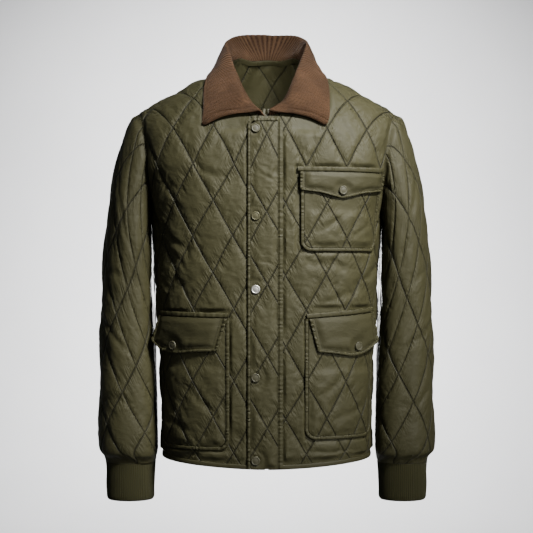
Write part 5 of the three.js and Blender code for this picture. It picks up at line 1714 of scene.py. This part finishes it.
class JACKET_OT_stage(bpy.types.Operator):
    """Makes the paper sweep, the lights, the world and the camera"""

    bl_idname = "jacket.stage"
    bl_label = "Studio"

    def execute(self, context):
        s = context.scene.jacket_studio
        angle = np.linspace(0, np.pi / 2, 24)
        low, far, turn = PAPER_FLOOR, PAPER_WALL, PAPER_ROUND
        y = np.concatenate([[PAPER_FRONT, 0.0], far - turn + turn * np.sin(angle), [far]])
        z = np.concatenate([[low, low], low + turn * (1 - np.cos(angle)), [low + PAPER_TALL]])
        x = np.linspace(-PAPER_HALF, PAPER_HALF, 3)
        grid = np.stack([np.broadcast_to(x[:, None], (3, len(y))),
                         np.broadcast_to(y, (3, len(y))), np.broadcast_to(z, (3, len(y)))], -1)
        ids = np.arange(grid[..., 0].size).reshape(3, -1)
        quads = np.stack([ids[:-1, :-1], ids[1:, :-1], ids[1:, 1:], ids[:-1, 1:]], -1)
        mesh = bpy.data.meshes.new("paper_sweep")
        mesh.from_pydata(grid.reshape(-1, 3).tolist(), [], quads.reshape(-1, 4).tolist())
        mesh.shade_smooth()
        mesh.materials.append(material("studio_paper"))
        paper = bpy.data.objects.new("paper_sweep", mesh)
        context.scene.collection.objects.link(paper)
        for name, place, aim, setting, share, size, spread in LAMPS:
            light(name, place, aim, getattr(s, setting) * share, size, spread)
        world = bpy.data.worlds.new("studio")
        world.use_nodes = True
        world.node_tree.nodes["Background"].inputs[0].default_value = SKY
        world.node_tree.nodes["Background"].inputs[1].default_value = SKY_STRENGTH
        context.scene.world = world
        data = bpy.data.cameras.new("camera")
        data.lens, data.sensor_width = s.lens, 36
        data.clip_end = 50
        camera = bpy.data.objects.new("camera", data)
        camera.location = (0, -s.distance, s.height)
        camera.rotation_euler = (math.pi / 2, 0, 0)
        context.scene.collection.objects.link(camera)
        context.scene.camera = camera
        return {"FINISHED"}


OPERATORS = (JACKET_OT_panels, JACKET_OT_sleeves, JACKET_OT_collar, JACKET_OT_trims,
             JACKET_OT_pockets, JACKET_OT_snaps, JACKET_OT_stitching, JACKET_OT_sheets,
             JACKET_OT_stage)


class JACKET_PT_sidebar(bpy.types.Panel):
    """Lists the pieces and their settings"""

    bl_label = "Quilted jacket"
    bl_idname = "JACKET_PT_sidebar"
    bl_space_type = "VIEW_3D"
    bl_region_type = "UI"
    bl_category = "Jacket"

    def draw(self, context):
        for group in (context.scene.jacket_colours, context.scene.jacket_studio):
            for name in group.__annotations__:
                self.layout.prop(group, name)
        for operator in OPERATORS:
            self.layout.operator(operator.bl_idname)


CLASSES = (JacketColours, JacketStudio, *OPERATORS, JACKET_PT_sidebar)


def register():
    """Registers the classes and puts the settings on the scene."""
    for item in CLASSES:
        bpy.utils.register_class(item)
    bpy.types.Scene.jacket_colours = bpy.props.PointerProperty(type=JacketColours)
    bpy.types.Scene.jacket_studio = bpy.props.PointerProperty(type=JacketStudio)


def unregister():
    """Takes the settings and the classes away again."""
    del bpy.types.Scene.jacket_studio
    del bpy.types.Scene.jacket_colours
    for item in reversed(CLASSES):
        bpy.utils.unregister_class(item)


def main():
    """Makes the whole jacket and its studio."""
    register()
    for operator in OPERATORS:
        group, call = operator.bl_idname.split(".")
        getattr(getattr(bpy.ops, group), call)()


if __name__ == "__main__":
    main()
